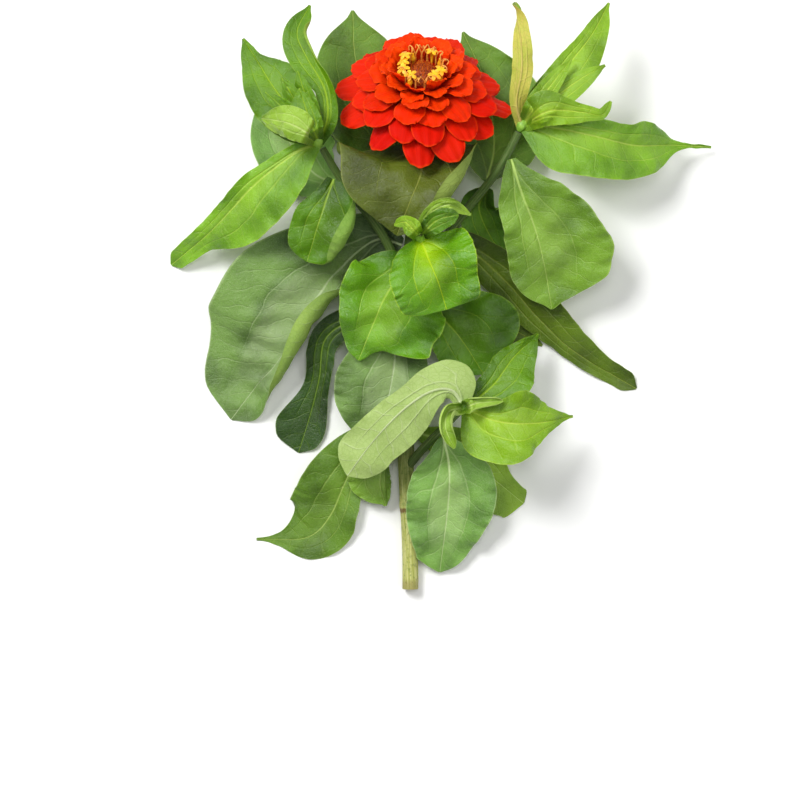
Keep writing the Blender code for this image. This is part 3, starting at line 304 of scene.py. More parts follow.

# the colours of a leaf: deep (for its blotches, and for the painted shade towards its stalk), middle, fresh
# (near the base), vein and underside
GREENS = {
    "grey": ("#233c10", "#739745", "#98b759", "#c4d6a2", "#94b24c"),
    "soft": ("#345409", "#77a12a", "#97c243", "#b8d470", "#a0be58"),
    "old": ("#264103", "#60891a", "#85ab29", "#b0ca64", "#9cba54"),
    "blue": ("#33581a", "#7eae4b", "#a3ca61", "#d0e4a4", "#aac874"),
    "dark": ("#071600", "#254903", "#46700c", "#86a838", "#7c9c40"),
    "deep": ("#183900", "#538500", "#78ad08", "#a0c040", "#88aa4c"),
    "olive": ("#203100", "#5c790b", "#86a21c", "#a0b048", "#8aa24a"),
    "glossy": ("#1e4b00", "#64a00a", "#93c526", "#bcdc58", "#9cbe5c"),
    "tender": ("#476b04", "#8fb72a", "#b4d552", "#d0e888", "#b8d074"),
    "blush": ("#4d6808", "#89ac22", "#a4c33a", "#dcc874", "#c6ba54"),
    "mid": ("#356303", "#7aaf1a", "#a0cb37", "#c0dc5c", "#a8c858"),
    "spring": ("#3c6302", "#80ad12", "#a3ca27", "#c8e254", "#acca5c"),
    "sap": ("#214800", "#5d8d00", "#80ae00", "#a8ca30", "#9cbe48"),
    "lime": ("#1c4a00", "#5d9900", "#a6d100", "#c8e428", "#a4c844"),
    "bronze": ("#1a2000", "#55640a", "#7a8a1c", "#98a048", "#869c46"),
    "pale": ("#3f5a1e", "#86a444", "#9cba60", "#dce8b8", "#a8c070"),
}
# how fresh a leaf is along its midrib, and how much painted sheen, a pale highlight in its colour, lies
# between its lateral veins
FRESH = {"lime": 0.95, "spring": 0.8, "mid": 0.6, "glossy": 0.4}
SHEEN = {"grey": 0.30, "blue": 0.22, "glossy": 0.16, "soft": 0.12}
# the plain materials: two colours, that of their speckles, roughness, scale and subsurface weight
PLAIN = {
    "disc_dome": (("#7c2c06", "#a8480c", "#cc7018"), 0.7, 900, 0),
    "disc_bristle": (("#b4440a", "#d87418", "#f0a83c"), 0.55, 700, 0.05),
    "style": (("#dc8428", "#f0ac48", "#ffdc98"), 0.5, 600, 0),
    "floret": (("#f2a808", "#ffc81a", "#ffe060"), 0.5, 500, 0.08),
    "cup": (("#3f6a1c", "#6a8f38", "#8fae58"), 0.5, 260, 0),
    "bud": (("#6f9f2c", "#9cc84a", "#c8e07c"), 0.45, 240, 0),
}


# ---------------------------------------------------------------- smooth lines

def unit(v):
    return v / np.linalg.norm(v, axis=-1, keepdims=True)


def spline(points, at):
    """The smooth (Catmull-Rom) curve through points, read at places counted in points."""
    pts = np.array(points, float)
    pad = np.concatenate([[2 * pts[0] - pts[1]], pts, [2 * pts[-1] - pts[-2]]])
    i = np.clip(at.astype(int), 0, len(pts) - 2)
    t = (at - i).reshape([-1] + [1] * (pts.ndim - 1))
    p0, p1, p2, p3 = (pad[i + k] for k in range(4))
    bend = 2 * p0 - 5 * p1 + 4 * p2 - p3
    return p1 + 0.5 * (t * (p2 - p0) + t**2 * bend + t**3 * (3 * p1 - p0 - 3 * p2 + p3))


def resample(values, count):
    """The smooth curve through values, or through the rows of a grid, at count even places."""
    return spline(values, np.linspace(0, len(values) - 1, count))


def distances(path):
    """How far along a path each of its points is."""
    return np.r_[0, np.cumsum(np.linalg.norm(np.diff(path, axis=0), axis=1))]


def smooth_path(points, count):
    """count + 1 points, evenly spaced, along a smooth curve through the given ones."""
    line = resample(points, 30 * len(points))
    run = distances(line)
    even = np.linspace(0, run[-1], count + 1)
    return np.column_stack([np.interp(even, run, line[:, k]) for k in range(line.shape[1])])


def along(values, count):
    """A few values, evenly spread from base to tip, as count + 1 smooth ones."""
    values = np.atleast_1d(np.array(values, float))
    return np.full(count + 1, values[0]) if len(values) == 1 else resample(values, count + 1)


def framed(path, up):
    """At each point of a path: the way along it, and two across it, the first of them towards up."""
    run = unit(np.gradient(path, axis=0))
    face = unit(up - (run @ up)[:, None] * run)
    return run, face, np.cross(run, face)


def turned_by(turn, face, side):
    """The two ways across a path after a turn about it."""
    turn = turn[:, None]
    return face * np.cos(turn) + side * np.sin(turn), side * np.cos(turn) - face * np.sin(turn)


def normals(grid):
    return unit(np.cross(np.gradient(grid, axis=1), np.gradient(grid, axis=0)))


# ---------------------------------------------------------------- the stem

def seat(point, toward, lines, gap):
    """Where a leaf that springs near point starts: gap off the skin of the nearest axis."""
    best = None
    for axis, radii in lines.values():
        fine, thick = resample(axis, 20 * len(axis)), resample(radii, 20 * len(radii))
        room = np.linalg.norm(fine - point, axis=1) - thick
        i = int(room.argmin())
        if best is None or room[i] < best[0]:
            run = unit(fine[min(i + 1, len(fine) - 1)] - fine[max(i - 1, 0)])
            best = (room[i], fine[i], thick[i], run)
    _, middle, radius, run = best
    out = toward - middle
    out = unit(out - (out @ run) * run)
    return middle + out * (radius + gap)


def stem_tube(axis, radii, sides):
    """Rings round an axis, as a grid of (ring, side)."""
    _, face, side = framed(axis, UP)
    turn = (np.arange(sides) * 2 * np.pi / sides)[:, None]
    ring = np.cos(turn) * side[:, None] + np.sin(turn) * face[:, None]
    return axis[:, None] + radii[:, None, None] * ring


def branch_end(name, lines):
    """The way in which a branch ends, and the middle of the bud on it."""
    axis, _ = lines[name]
    run = unit(axis[-1] - axis[-2])
    return run, axis[-1] + run * (BUD_RADIUS + SEAM)


# ---------------------------------------------------------------- leaves

def shoot_of(name):
    """The young shoot that a leaf belongs to, if any."""
    return next((shoot for shoot, starts in SHOOTS.items() if name.startswith(starts)), None)


def half_width(values, u, start):
    """Half width along a leaf, from a few evenly spaced values, with an end rounded from start on."""
    end = np.clip((u - start) / (1 - start), 0, 1)
    return np.maximum(along(values, ROWS) * np.sqrt(1 - end**2), TIP_HALF)


def leaf_grid(traits, spine):
    """The blade's middle surface: ROWS + 1 rows from base to tip, 2 * HALF_COLS + 1 points in each."""
    path = smooth_path(spine, ROWS)
    u = np.linspace(0, 1, ROWS + 1)
    _, face, side = framed(path, UP)
    face, side = turned_by(np.radians(along(traits.roll, ROWS)), face, side)
    steps = 4 * HALF_COLS
    t = np.linspace(0, 1, steps + 1)
    swing = traits.wave * np.sin(np.pi * u) ** 0.5
    halves = []
    for way, half in ((-1, "left"), (1, "right")):
        wide = half_width(getattr(traits, half), u, traits.blunt)
        fold, curl = (np.radians(along(getattr(traits, bend + half), ROWS)) for bend in ("fold_", "curl_"))
        angle = fold[:, None] + curl[:, None] * t ** traits.crisp
        middle = (angle[:, 1:] + angle[:, :-1]) / 2
        sums = (np.pad(np.cumsum(part(middle), axis=1), ((0, 0), (1, 0))) for part in (np.cos, np.sin))
        out, lift = (part[:, ::4] / steps * wide[:, None] for part in sums)
        ripple = np.sin(2 * np.pi * (traits.waves * u + 0.1 * way))
        lift = lift + (swing * ripple)[:, None] * t[::4] ** 2
        halves.append(path[:, None] + way * out[..., None] * side[:, None] + lift[..., None] * face[:, None])
    left, right = halves
    return np.concatenate([left[:, :0:-1], right], axis=1)


def rest_on_surface(grid, lowest):
    """Presses what lies too low on to the surface: flat at lowest, with a short soft rise."""
    z = grid[..., 2]
    soft = lowest + (z - lowest + PRESS) ** 2 / (4 * PRESS)
    grid[..., 2] = np.where(z > lowest + PRESS, z, np.where(z < lowest - PRESS, lowest, soft))
    return grid


def spread(cells, step, how):
    """Each cell together with the eight that are step cells from it, as their maximum or mean."""
    return how([np.roll(cells, (i, j), (0, 1)) for i in (-step, 0, step) for j in (-step, 0, step)], axis=0)


class Heap:
    """The height of what already lies there, over square cells, so that the next leaf lies on it."""

    def __init__(self):
        self.top = np.full(HEAP_CELLS, LEAF_THICK / 2 - LEAF_CLEAR)

    def cells(self, points):
        at = ((points[..., :2] - HEAP_CORNER) / HEAP_CELL).astype(int)
        return tuple(np.clip(at[..., k], 0, HEAP_CELLS[k] - 1) for k in range(2))

    def add(self, grid):
        """Lays a grid of points down, each of its quads filled in."""
        for a in np.linspace(0, 1, 5):
            for b in np.linspace(0, 1, 5):
                rows = grid[:-1] * (1 - a) + grid[1:] * a
                points = rows[:, :-1] * (1 - b) + rows[:, 1:] * b
                np.maximum.at(self.top, self.cells(points), points[..., 2])

    def floor(self, grid):
        """The height to clear at each point of the grid, eased at the edges of what lies below."""
        tight = spread(self.top, 1, np.max)
        soft = spread(tight, 1, np.max)
        for _ in range(3):
            soft = spread(soft, 2, np.mean)
        return np.maximum(tight, soft)[self.cells(grid)]


def lay(grid, heap, free, clear):
    """Lifts the grid over the heap; the first part of its length, free, stays where it springs."""
    u = np.linspace(0, 1, len(grid))
    hold = np.clip((u - free) / LEAF_EASE, 0, 1)[:, None]
    short = np.maximum(heap.floor(grid) + clear - grid[..., 2], 0)
    low = short.copy()
    for _ in range(3):
        pad = np.pad(low, 1, mode="edge")
        near = [pad[i:i + len(low), j:j + low.shape[1]] for i in (0, 1, 2) for j in (0, 1, 2)]
        low = np.maximum(np.mean(near, axis=0), short)
    grid[..., 2] += low * hold
    return grid


def lay_out():
    """Every leaf's middle surface by name, and every petal's, laid in order over what is below."""
    lines = {name: (smooth_path(points, AXIS_STEPS), along(radii, AXIS_STEPS))
             for name, (points, radii) in AXES.items()}
    heap = Heap()
    leaves = {}
    for name, traits in LEAVES.items():
        if name in ("STEM", "BRANCH"):
            for axis, radii in (lines[part] for part in traits):
                tube = stem_tube(axis, radii, HEAP_SIDES)
                heap.add(np.concatenate([tube, tube[:, :1]], axis=1))
            continue
        if name == "BLOOM":
            petals = all_petals(heap)
            continue
        spine = np.array(traits.spine, float)
        shoot = shoot_of(name)
        if shoot:
            spine = np.vstack([branch_end(shoot, lines)[1], spine])
        else:
            spine[0] = seat(spine[0], spine[1], lines, traits.gap)
        grid = rest_on_surface(leaf_grid(traits, spine), LEAF_THICK / 2)
        leaves[name] = lay(grid, heap, LEAF_FREE, LEAF_CLEAR)
        heap.add(grid)
    return lines, leaves, petals


# ---------------------------------------------------------------- the bloom

def bloom_point(radius, turn, height):
    """A point of the bloom from its distance from the axis, its angle and its height."""
    out = np.cos(turn) * BLOOM_SIDE + np.sin(turn) * BLOOM_BACK
    return BLOOM_SEAT + height * BLOOM_AXIS + radius * out


def petal_grid(turn, lift, base, tip, half, arch, bow, rng):
    """The middle surface of one ray petal: PETAL_ROWS + 1 rows, 2 * PETAL_HALF + 1 points in each."""
    grow = 1 - rng.uniform(0, PETAL_SHORTER)
    sway, tip_lift = rng.uniform(-PETAL_SWAY, PETAL_SWAY), rng.uniform(-PETAL_LIFT, PETAL_LIFT)
    twist = np.radians(rng.uniform(-PETAL_TWIST, PETAL_TWIST))
    (r0, h0), (r1, h1) = base, tip
    h0, h1 = h0 + lift * PETAL_BASE_LIFT, h1 + lift
    r1 = r0 + (r1 - r0) * grow
    u = np.linspace(0, 1, PETAL_ROWS + 1)
    radius = r0 + (r1 - r0) * u
    height = h0 + (h1 - h0) * u + arch * np.sin(np.pi * u ** 0.9) + tip_lift * u**2
    turns = turn + sway * u**1.5
    path = np.array([bloom_point(r, a, h) for r, a, h in zip(radius, turns, height)])
    run, face, side = framed(path, BLOOM_AXIS)
    face, side = turned_by(twist * u, face, side)
    wide = half * spline(PETAL_WIDTHS, u * (len(PETAL_WIDTHS) - 1))
    v = np.linspace(-1, 1, 2 * PETAL_HALF + 1)
    bow = bow + rng.uniform(-0.05, 0.05)
    grid = path[:, None] + wide[:, None, None] * v[:, None] * side[:, None]
    grid = grid + (bow * wide[:, None] * v**2)[..., None] * face[:, None]
    round_off = -PETAL_ROUND * half * (u**7)[:, None] * v**2
    return grid + round_off[..., None] * run[:, None]


def all_petals(heap):
    """The middle surfaces of all ray petals, outermost layer first, eased over what lies below."""
    rng = np.random.RandomState(PETAL_SEED)
    petals = []
    for number, (count, start, *form) in enumerate(PETAL_LAYERS):
        for k in range(count):
            turn = 2 * np.pi * (k + start) / count + rng.uniform(-PETAL_SWAY, PETAL_SWAY)
            grid = petal_grid(turn, PETAL_STAGGER * (1 if k % 2 else -1), *form, rng)
            petals.append((number, lay(grid, heap, 0.0, PETAL_CLEAR)))
    return petals


def star_places():
    """Where the small star florets stand: (turn, distance, height, size, lean) of each."""
    rng = np.random.RandomState(STAR_SEED)
    places = []
    for degrees in STAR_TURNS:
        reach = COLLAR_RADIUS + rng.uniform(-0.3, 0.5)
        height = STAR_HEIGHT + rng.uniform(-0.5, 0.9)
        size, lean = rng.uniform(2.6, 3.0), np.radians(rng.uniform(10, 26))
        places.append((np.radians(degrees), reach, height, size, lean))
    return places


# ---------------------------------------------------------------- looks

def linear(code):
    """A colour such as #6a8f4c as the linear red, green, blue and alpha that a shader takes."""
    parts = np.array([*bytes.fromhex(code[1:])]) / 255
    return (*np.where(parts <= 0.04045, parts / 12.92, ((parts + 0.055) / 1.055) ** 2.4).tolist(), 1.0)


def by(operation):
    """A method that makes the node for an operation on its values."""
    return lambda *values: values[0].shader.math(operation, *values)


class Value:
    """What a node puts out; arithmetic with it makes the nodes that do the arithmetic."""

    def __init__(self, shader, socket):
        self.shader, self.socket = shader, socket

    __add__, __sub__, __mul__, __truediv__ = by("ADD"), by("SUBTRACT"), by("MULTIPLY"), by("DIVIDE")
    __pow__, __abs__ = by("POWER"), by("ABSOLUTE")


class Shader:
    """A material whose nodes are made by short calls, each of which gives a Value."""

    def __init__(self, name, roughness, specular=0.5, weight=0.0, scale=0.001, radius=(1.0, 0.2, 0.1)):
        self.material = bpy.data.materials.new(name)
        self.material.use_nodes = True
        self.tree = self.material.node_tree
        self.end = self.tree.nodes["Principled BSDF"].inputs
        wishes = {"Roughness": roughness, "Specular IOR Level": specular, "Subsurface Weight": weight,
                  "Subsurface Scale": scale, "Subsurface Radius": radius}
        for key, value in wishes.items():
            self.end[key].default_value = value

    def node(self, kind, inputs=(), **settings):
        """All that a new node of that kind puts out; its inputs come by name or number."""
        made = self.tree.nodes.new("ShaderNode" + kind)
        for key, value in settings.items():
            setattr(made, key, value)
        for key, value in dict(inputs).items():
            if isinstance(value, Value):
                self.tree.links.new(value.socket, made.inputs[key])
            else:
                made.inputs[key].default_value = value
        return [Value(self, socket) for socket in made.outputs]

    def math(self, operation, *values, clamp=False):
        return self.node("Math", enumerate(values), operation=operation, use_clamp=clamp)[0]

    def ease(self, value, low, high, start=0.0, end=1.0):
        """start where value is low, end where it is high, and smooth between."""
        inputs = {"Value": value, "From Min": low, "From Max": high, "To Min": start, "To Max": end}
        return self.node("MapRange", inputs, interpolation_type="SMOOTHSTEP")[0]

    def fade(self, value, low, high):
        """1 where value is low, 0 where it is high, and smooth between."""
        return self.ease(value, low, high, 1.0, 0.0)

    def mix(self, factor, first, second):
        return self.node("Mix", {0: factor, 6: first, 7: second}, data_type="RGBA")[2]

    def plane(self, name):
        """The two numbers that a mesh keeps in the map of that name."""
        return self.node("SeparateXYZ", {0: self.node("UVMap", uv_map=name)[0]})[:2]

    def point(self, x, y, z=0.0):
        return self.node("CombineXYZ", {0: x, 1: y, 2: z})[0]

    def noise(self, vector, scale, detail=2.0, roughness=0.5):
        inputs = {"Vector": vector, "Scale": scale, "Detail": detail, "Roughness": roughness}
        return self.node("TexNoise", inputs)[0]

    def sum(self, *terms):
        """The sum of (weight, value) pairs."""
        total = 0.0
        for weight, value in terms:
            total = self.math("MULTIPLY_ADD", value, weight, total)
        return total

    def finish(self, colour, height, depth, strength, roughness=None):
        bump = self.node("Bump", {"Height": height, "Distance": depth, "Strength": strength})[0]
        for key, value in (("Base Color", colour), ("Normal", bump), ("Roughness", roughness)):
            if value is not None:
                self.tree.links.new(value.socket, self.end[key])
        return self.material


def leaf_veins(s):
    """The masks of a leaf's veins: midrib, laterals, side veins and net, with its coordinates."""
    v, u = s.plane("leaf")
    across, run = (part * MAP_SCALE for part in s.plane("mm"))
    far, off = abs(v), abs(across)
    flat = s.point(across, run, v * 3.0)
    shake = s.noise(flat, 0.09, 1.0) - 0.5
    half = off / s.math("MAXIMUM", far, 0.03)
    thin = s.ease(u, 0.0, 1.0, 1.0, 0.3)
    mid = s.fade(off, thin * 0.15, thin * 0.8)
    place = s.math("DIVIDE", u, 0.5, clamp=True) ** LATERAL_CURVE
    place = s.math("MULTIPLY_ADD", place, LATERAL_OUT, shake * 0.08)
    lateral = s.fade(abs(far - place) * half, thin * 0.15, thin * 0.75) * s.ease(u, 0.6, 0.92, 1.0, 0.15)
    order = (run - off ** VEIN_CURVE * VEIN_SLANT) / VEIN_STEP + s.math("SIGN", v) * VEIN_OFFSET + shake * 1.1
    near = abs(s.math("FRACT", order) - 0.5)
    side = s.fade(near, 0.012, 0.05) * s.fade(far, 0.75, 0.98)
    bent = s.node("VectorMath", {0: flat, 1: s.node("TexNoise", {"Vector": flat, "Scale": 0.5})[1]})[0]
    cells = s.node("TexVoronoi", {"Vector": bent, "Scale": 0.46}, feature="DISTANCE_TO_EDGE")[0]
    return SimpleNamespace(u=u, far=far, inside=far - place, flat=flat, mid=mid, lateral=lateral, side=side,
                           net=s.fade(cells, 0.015, 0.085))


@cache
def leaf_material(look, roughness, shade):
    """The upper face: green that deepens in blotches, with painted shade towards the stalk, a painted sheen
    between the laterals, and paler sunk veins.
    """
    deep, middle, fresh, vein, _ = map(linear, GREENS[look])
    name = f"{look}_leaf_{int(roughness * 100)}_{int(shade * 10)}"
    s = Shader(name, roughness, 0.45, 0.06, 0.002, (0.6, 1.0, 0.2))
    k = leaf_veins(s)
    cloud, mottle = s.noise(k.flat, 0.045, 1.5, 0.5), s.noise(k.flat, 0.35, 3.0, 0.65)
    grain = s.noise(k.flat, 3.2, 2.0, 0.7)
    colour = s.mix(s.ease(s.sum((0.84, cloud), (0.16, mottle)), 0.31, 0.60, 0.32, 1.0), deep, middle)
    by_midrib = s.fade(k.far, 0.0, 0.55) * s.fade(k.u, 0.05, 0.75)
    colour = s.mix(by_midrib * FRESH.get(look, 0.35), colour, fresh)
    # painted shade: deep green mixed in towards the stalk, as much as the leaf's shade value, where other
    # leaves hang over it
    colour = s.mix(s.ease(s.sum((1.0, k.u), (0.5, cloud)), 0.25, 0.75, shade, 0.0), colour, deep)
    # painted sheen: the vein colour laid on as a pale highlight between the lateral veins
    panel = s.fade(k.inside, -0.10, 0.02) * s.ease(k.u, 0.15, 0.5) * s.fade(k.u, 0.62, 0.95)
    colour = s.mix(panel * SHEEN.get(look, 0.06), colour, vein)
    colour = s.mix(s.ease(grain, 0.52, 0.70, 0.0, 0.22), colour, vein)
    lines = s.sum((0.38, k.lateral), (0.14, k.side), (0.04, k.net))
    lines = lines * s.ease(cloud, 0.30, 0.66, 0.35, 1.0) + k.mid * 0.70
    colour = s.mix(s.math("MINIMUM", lines, 0.9), colour, vein)
    colour = s.mix(s.ease(k.far, 0.965, 1.0, 0.0, 0.35), colour, vein)
    height = s.sum((-0.2, k.mid), (-0.25, k.lateral), (-0.2, k.side), (-0.07, k.net), (0.30, grain),
                   (0.8, mottle))
    gloss = s.ease(grain, 0.3, 0.7, roughness - 0.06, roughness + 0.12)
    return s.finish(colour, height, 0.0007, 0.9, gloss)


@cache
def underside_material(look):
    """The underside: pale, with raised whitish veins and a fine darker net between them."""
    _, middle, _, vein, under = map(linear, GREENS[look])
    s = Shader(f"{look}_underside", 0.6, 0.35, 0.05, 0.002, (0.7, 1.0, 0.3))
    k = leaf_veins(s)
    cloud, grain = s.noise(k.flat, 0.05, 3.0, 0.6), s.noise(k.flat, 2.6, 2.0, 0.7)
    colour = s.mix(s.ease(cloud, 0.3, 0.7, 0.0, 0.45), under, middle)
    colour = s.mix(s.ease(grain, 0.5, 0.75, 0.0, 0.25), colour, vein)
    colour = s.mix(k.net * 0.32, colour, middle)
    lines = s.sum((0.62, k.mid), (0.2, k.lateral), (0.2, k.side))
    colour = s.mix(s.math("MINIMUM", lines, 0.85), colour, vein)
    height = s.sum((0.9, k.mid), (0.7, k.lateral), (0.5, k.side), (0.16, k.net), (0.3, grain))
    return s.finish(colour, height, 0.0005, 0.7)


@cache
def petal_material():
    """Velvety red, more orange towards the rim and in the inner layers, partly painted light, with painted
    shade at the claw.
    """
    s = Shader("petal", 0.6, 0.08, 0.10, 0.003, (1.0, 0.15, 0.02))
    v, u = s.plane("leaf")
    layer, luck = s.plane("petal")
    streak = s.noise(s.point(v * 14.0, u, luck), 1.0)
    cloud = s.noise(s.point(v, u * 0.5, luck * 9.0), 2.5)
    colour = linear("#cc0c00")
    # The first row is partly the petals' colour and partly painted light and shade: the inner layers lighter
    # and more orange, the outer deeper red. The last row is painted shade at the claw, where the petals
    # overlap.
    for value, low, high, start, end, code in (
            (layer, 0.1, 1.0, 0.0, 0.85, "#f84c00"), (luck, 0.2, 1.0, 0.0, 0.45, "#f83400"),
            (cloud, 0.35, 0.75, 0.0, 0.25, "#ee1400"), (streak, 0.45, 0.75, 0.0, 0.25, "#a80400"),
            (u, 0.15, 0.75, 0.8, 0.0, "#780600")):
        colour = s.mix(s.ease(value, low, high, start, end), colour, linear(code))
    rim = s.math("MAXIMUM", s.ease(abs(v), 0.88, 1.0), s.ease(u, 0.95, 1.0))
    colour = s.mix(rim * 0.22, colour, linear("#ff6408"))
    grain = s.noise(s.point(v * 40.0, u * 90.0, luck), 1.0)
    return s.finish(colour, s.sum((0.7, streak), (0.3, grain)), 0.00035, 0.5)


@cache
def plain_material(name):
    """Two colours mixed in clouds, a third in speckles, with a fine grain."""
    codes, roughness, scale, weight = PLAIN[name]
    first, second, third = map(linear, codes)
    s = Shader(name, roughness, weight=weight)
    where = s.node("TexCoord")[3]
    cloud, grain = s.noise(where, scale, 3.0, 0.6), s.noise(where, scale * 6, 2.0, 0.7)
    colour = s.mix(s.ease(cloud, 0.35, 0.65), first, second)
    colour = s.mix(s.ease(grain, 0.55, 0.75, 0.0, 0.6), colour, third)
    return s.finish(colour, s.sum((0.6, cloud), (0.4, grain)), 0.0002, 0.6)


@cache
def stem_material():
    """Pale green that yellows to the foot, with fine ribs, and brown at the old leaf scar."""
    s = Shader("stem", 0.5, 0.4, 0.05, 0.002)
    turn, run = s.plane("stem")
    run = run * MAP_SCALE
    rib = s.noise(s.point(turn * 26.0, run * 0.05), 1.0, 3.0, 0.7)
    spot = s.noise(s.point(turn * 8.0, run * 0.5), 1.0, 3.0, 0.6)
    colour = s.mix(s.ease(run, 10.0, 90.0), linear("#a8ac50"), linear("#385810"))
    pale = s.ease(rib, 0.42, 0.62) * s.ease(run, 20.0, 80.0, 0.75, 0.15)
    colour = s.mix(pale, colour, linear("#dcdc96"))
    colour = s.mix(s.ease(spot, 0.50, 0.70, 0.0, 0.6), colour, linear("#486618"))
    scar = abs(run - s.math("MULTIPLY_ADD", spot, 5.0, SCAR_PLACE - 2.5))
    colour = s.mix(s.ease(scar, 0.3, 1.6, 0.85, 0.0), colour, linear("#6a4a26"))
    foot = run - s.math("MULTIPLY_ADD", spot, 3.0, 1.0)
    colour = s.mix(s.ease(foot, 0.0, 3.0, 0.6, 0.0), colour, linear("#8f8248"))
    return s.finish(colour, s.sum((0.8, rib), (0.3, spot)), 0.0005, 0.6)


# ---------------------------------------------------------------- pieces
# A shape is (points in millimetres, faces, maps); maps gives each point its place in each named map.

def put(name, data):
    """A new object in the scene."""
    made = bpy.data.objects.new(name, data)
    bpy.context.scene.collection.objects.link(made)
    return made


def make_piece(name, shape, node, slot, *finishes, kinds=None):
    """One object; kinds gives each face its material among the finishes, if there are several."""
    points, faces, maps = shape
    mesh = bpy.data.meshes.new(name)
    mesh.from_pydata(((points - ORIGIN) * MM).tolist(), [], faces)
    for finish in finishes:
        mesh.materials.append(finish)
    if kinds is not None:
        mesh.polygons.foreach_set("material_index", kinds)
    corners = np.empty(len(mesh.loops), np.int32)
    mesh.loops.foreach_get("vertex_index", corners)
    for key, values in maps.items():
        layer = mesh.uv_layers.new(name=key)
        layer.uv.foreach_set("vector", np.ascontiguousarray(values[corners], np.float32).ravel())
    mesh.shade_smooth()
    mesh.set_sharp_from_angle(angle=SHARP_ANGLE)
    made = put(name, mesh)
    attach(made, "root")
    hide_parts(node)


def joined(shapes):
    """Several shapes as one."""
    points, faces, maps, start = [], [], {}, 0
    for its_points, its_faces, its_maps in shapes:
        points.append(its_points)
        faces += [tuple(k + start for k in face) for face in its_faces]
        start += len(its_points)
        for key, values in its_maps.items():
            maps.setdefault(key, []).append(values)
    return np.concatenate(points), faces, {key: np.concatenate(values) for key, values in maps.items()}


def quads(near, far):
    """The four corners of each quad between two lines of points, or two grids of them."""
    return np.stack([near[0], near[1], far[1], far[0]], -1).reshape(-1, 4)


def sheet(grid, thick, keel=0.0):
    """A thin closed blade round a surface; its faces are the upper ones, the lower ones and the rim."""
    rows, cols = grid.shape[:2]
    count = rows * cols
    half = np.broadcast_to(np.asarray(thick) / 2, (rows, cols))[..., None]
    down = half + np.broadcast_to(np.asarray(keel), (rows, cols))[..., None]
    normal = normals(grid)
    points = np.concatenate([(grid + normal * half).reshape(-1, 3), (grid - normal * down).reshape(-1, 3)])
    points[:, 2] = np.maximum(points[:, 2], np.repeat(FACE_LOWEST, count))
    index = np.arange(count).reshape(rows, cols)
    upper = quads((index[:-1, :-1], index[:-1, 1:]), (index[1:, :-1], index[1:, 1:]))
    edge = np.concatenate([index[0, :-1], index[:-1, -1], index[-1, :0:-1], index[:0:-1, 0]])
    after = np.roll(edge, -1)
    rim = quads((after, edge), (after + count, edge + count))
    return points, np.concatenate([upper, upper[:, ::-1] + count, rim]).tolist(), {}


def lofted(rings):
    """A closed shape through rings of points, each (ring, side), capped at both ends."""
    rings = np.array(rings)
    count, sides = rings.shape[:2]
    index = np.arange(count * sides).reshape(count, sides)
    after = np.roll(index, -1, axis=1)
    faces = quads((index[:-1], after[:-1]), (index[1:], after[1:])).tolist()
    return rings.reshape(-1, 3), [index[0][::-1].tolist(), *faces, index[-1].tolist()], {}


def tube(axis, radii, sides):
    return lofted(stem_tube(axis, radii, sides)[:, ::-1])


def turned(profile, sides):
    """A closed shape turned round the bloom's axis from (radius, height) pairs."""
    turns = np.arange(sides) * 2 * np.pi / sides
    return lofted([[bloom_point(radius, turn, height) for turn in turns] for radius, height in profile])


def refine(grid, rows, cols):
    """The same smooth surface, with rows + 1 by cols + 1 points."""
    for count in (rows, cols):
        grid = resample(grid, count + 1).swapaxes(0, 1)
    return grid


def flat_places(grid):
    """How far along, from 0 to 1, and across, from -1 to 1, the points of a grid are."""
    rows, cols = grid.shape[:2]
    return np.linspace(0, 1, rows)[:, None], np.linspace(-1, 1, cols)


def paired(first, second):
    return np.stack(np.broadcast_arrays(first, second), -1)


def both_faces(values):
    """A map of a grid's points for the two faces of its sheet."""
    return np.tile(values.reshape(-1, 2), (2, 1))


def stray(rng, count, waves):
    """A gentle random line of count values between about -1 and 1, made of a few waves."""
    at = np.linspace(0, 2 * np.pi, count)
    turns = rng.uniform(0, 2 * np.pi, len(waves))
    return sum(np.sin(n * at + t) for n, t in zip(waves, turns)) / len(waves) ** 0.5


def crumpled(across, run, rng):
    """A random soft swell over a leaf, from about -1 to 1, made of plane waves that cross."""
    total = 0
    for _ in range(SWELLS):
        turn, length = rng.uniform(0, np.pi), rng.uniform(*SWELL_LENGTHS)
        way = across * np.cos(turn) + run * np.sin(turn)
        total = total + np.sin(2 * np.pi * (way / length + rng.uniform()))
    return total / SWELLS**0.5


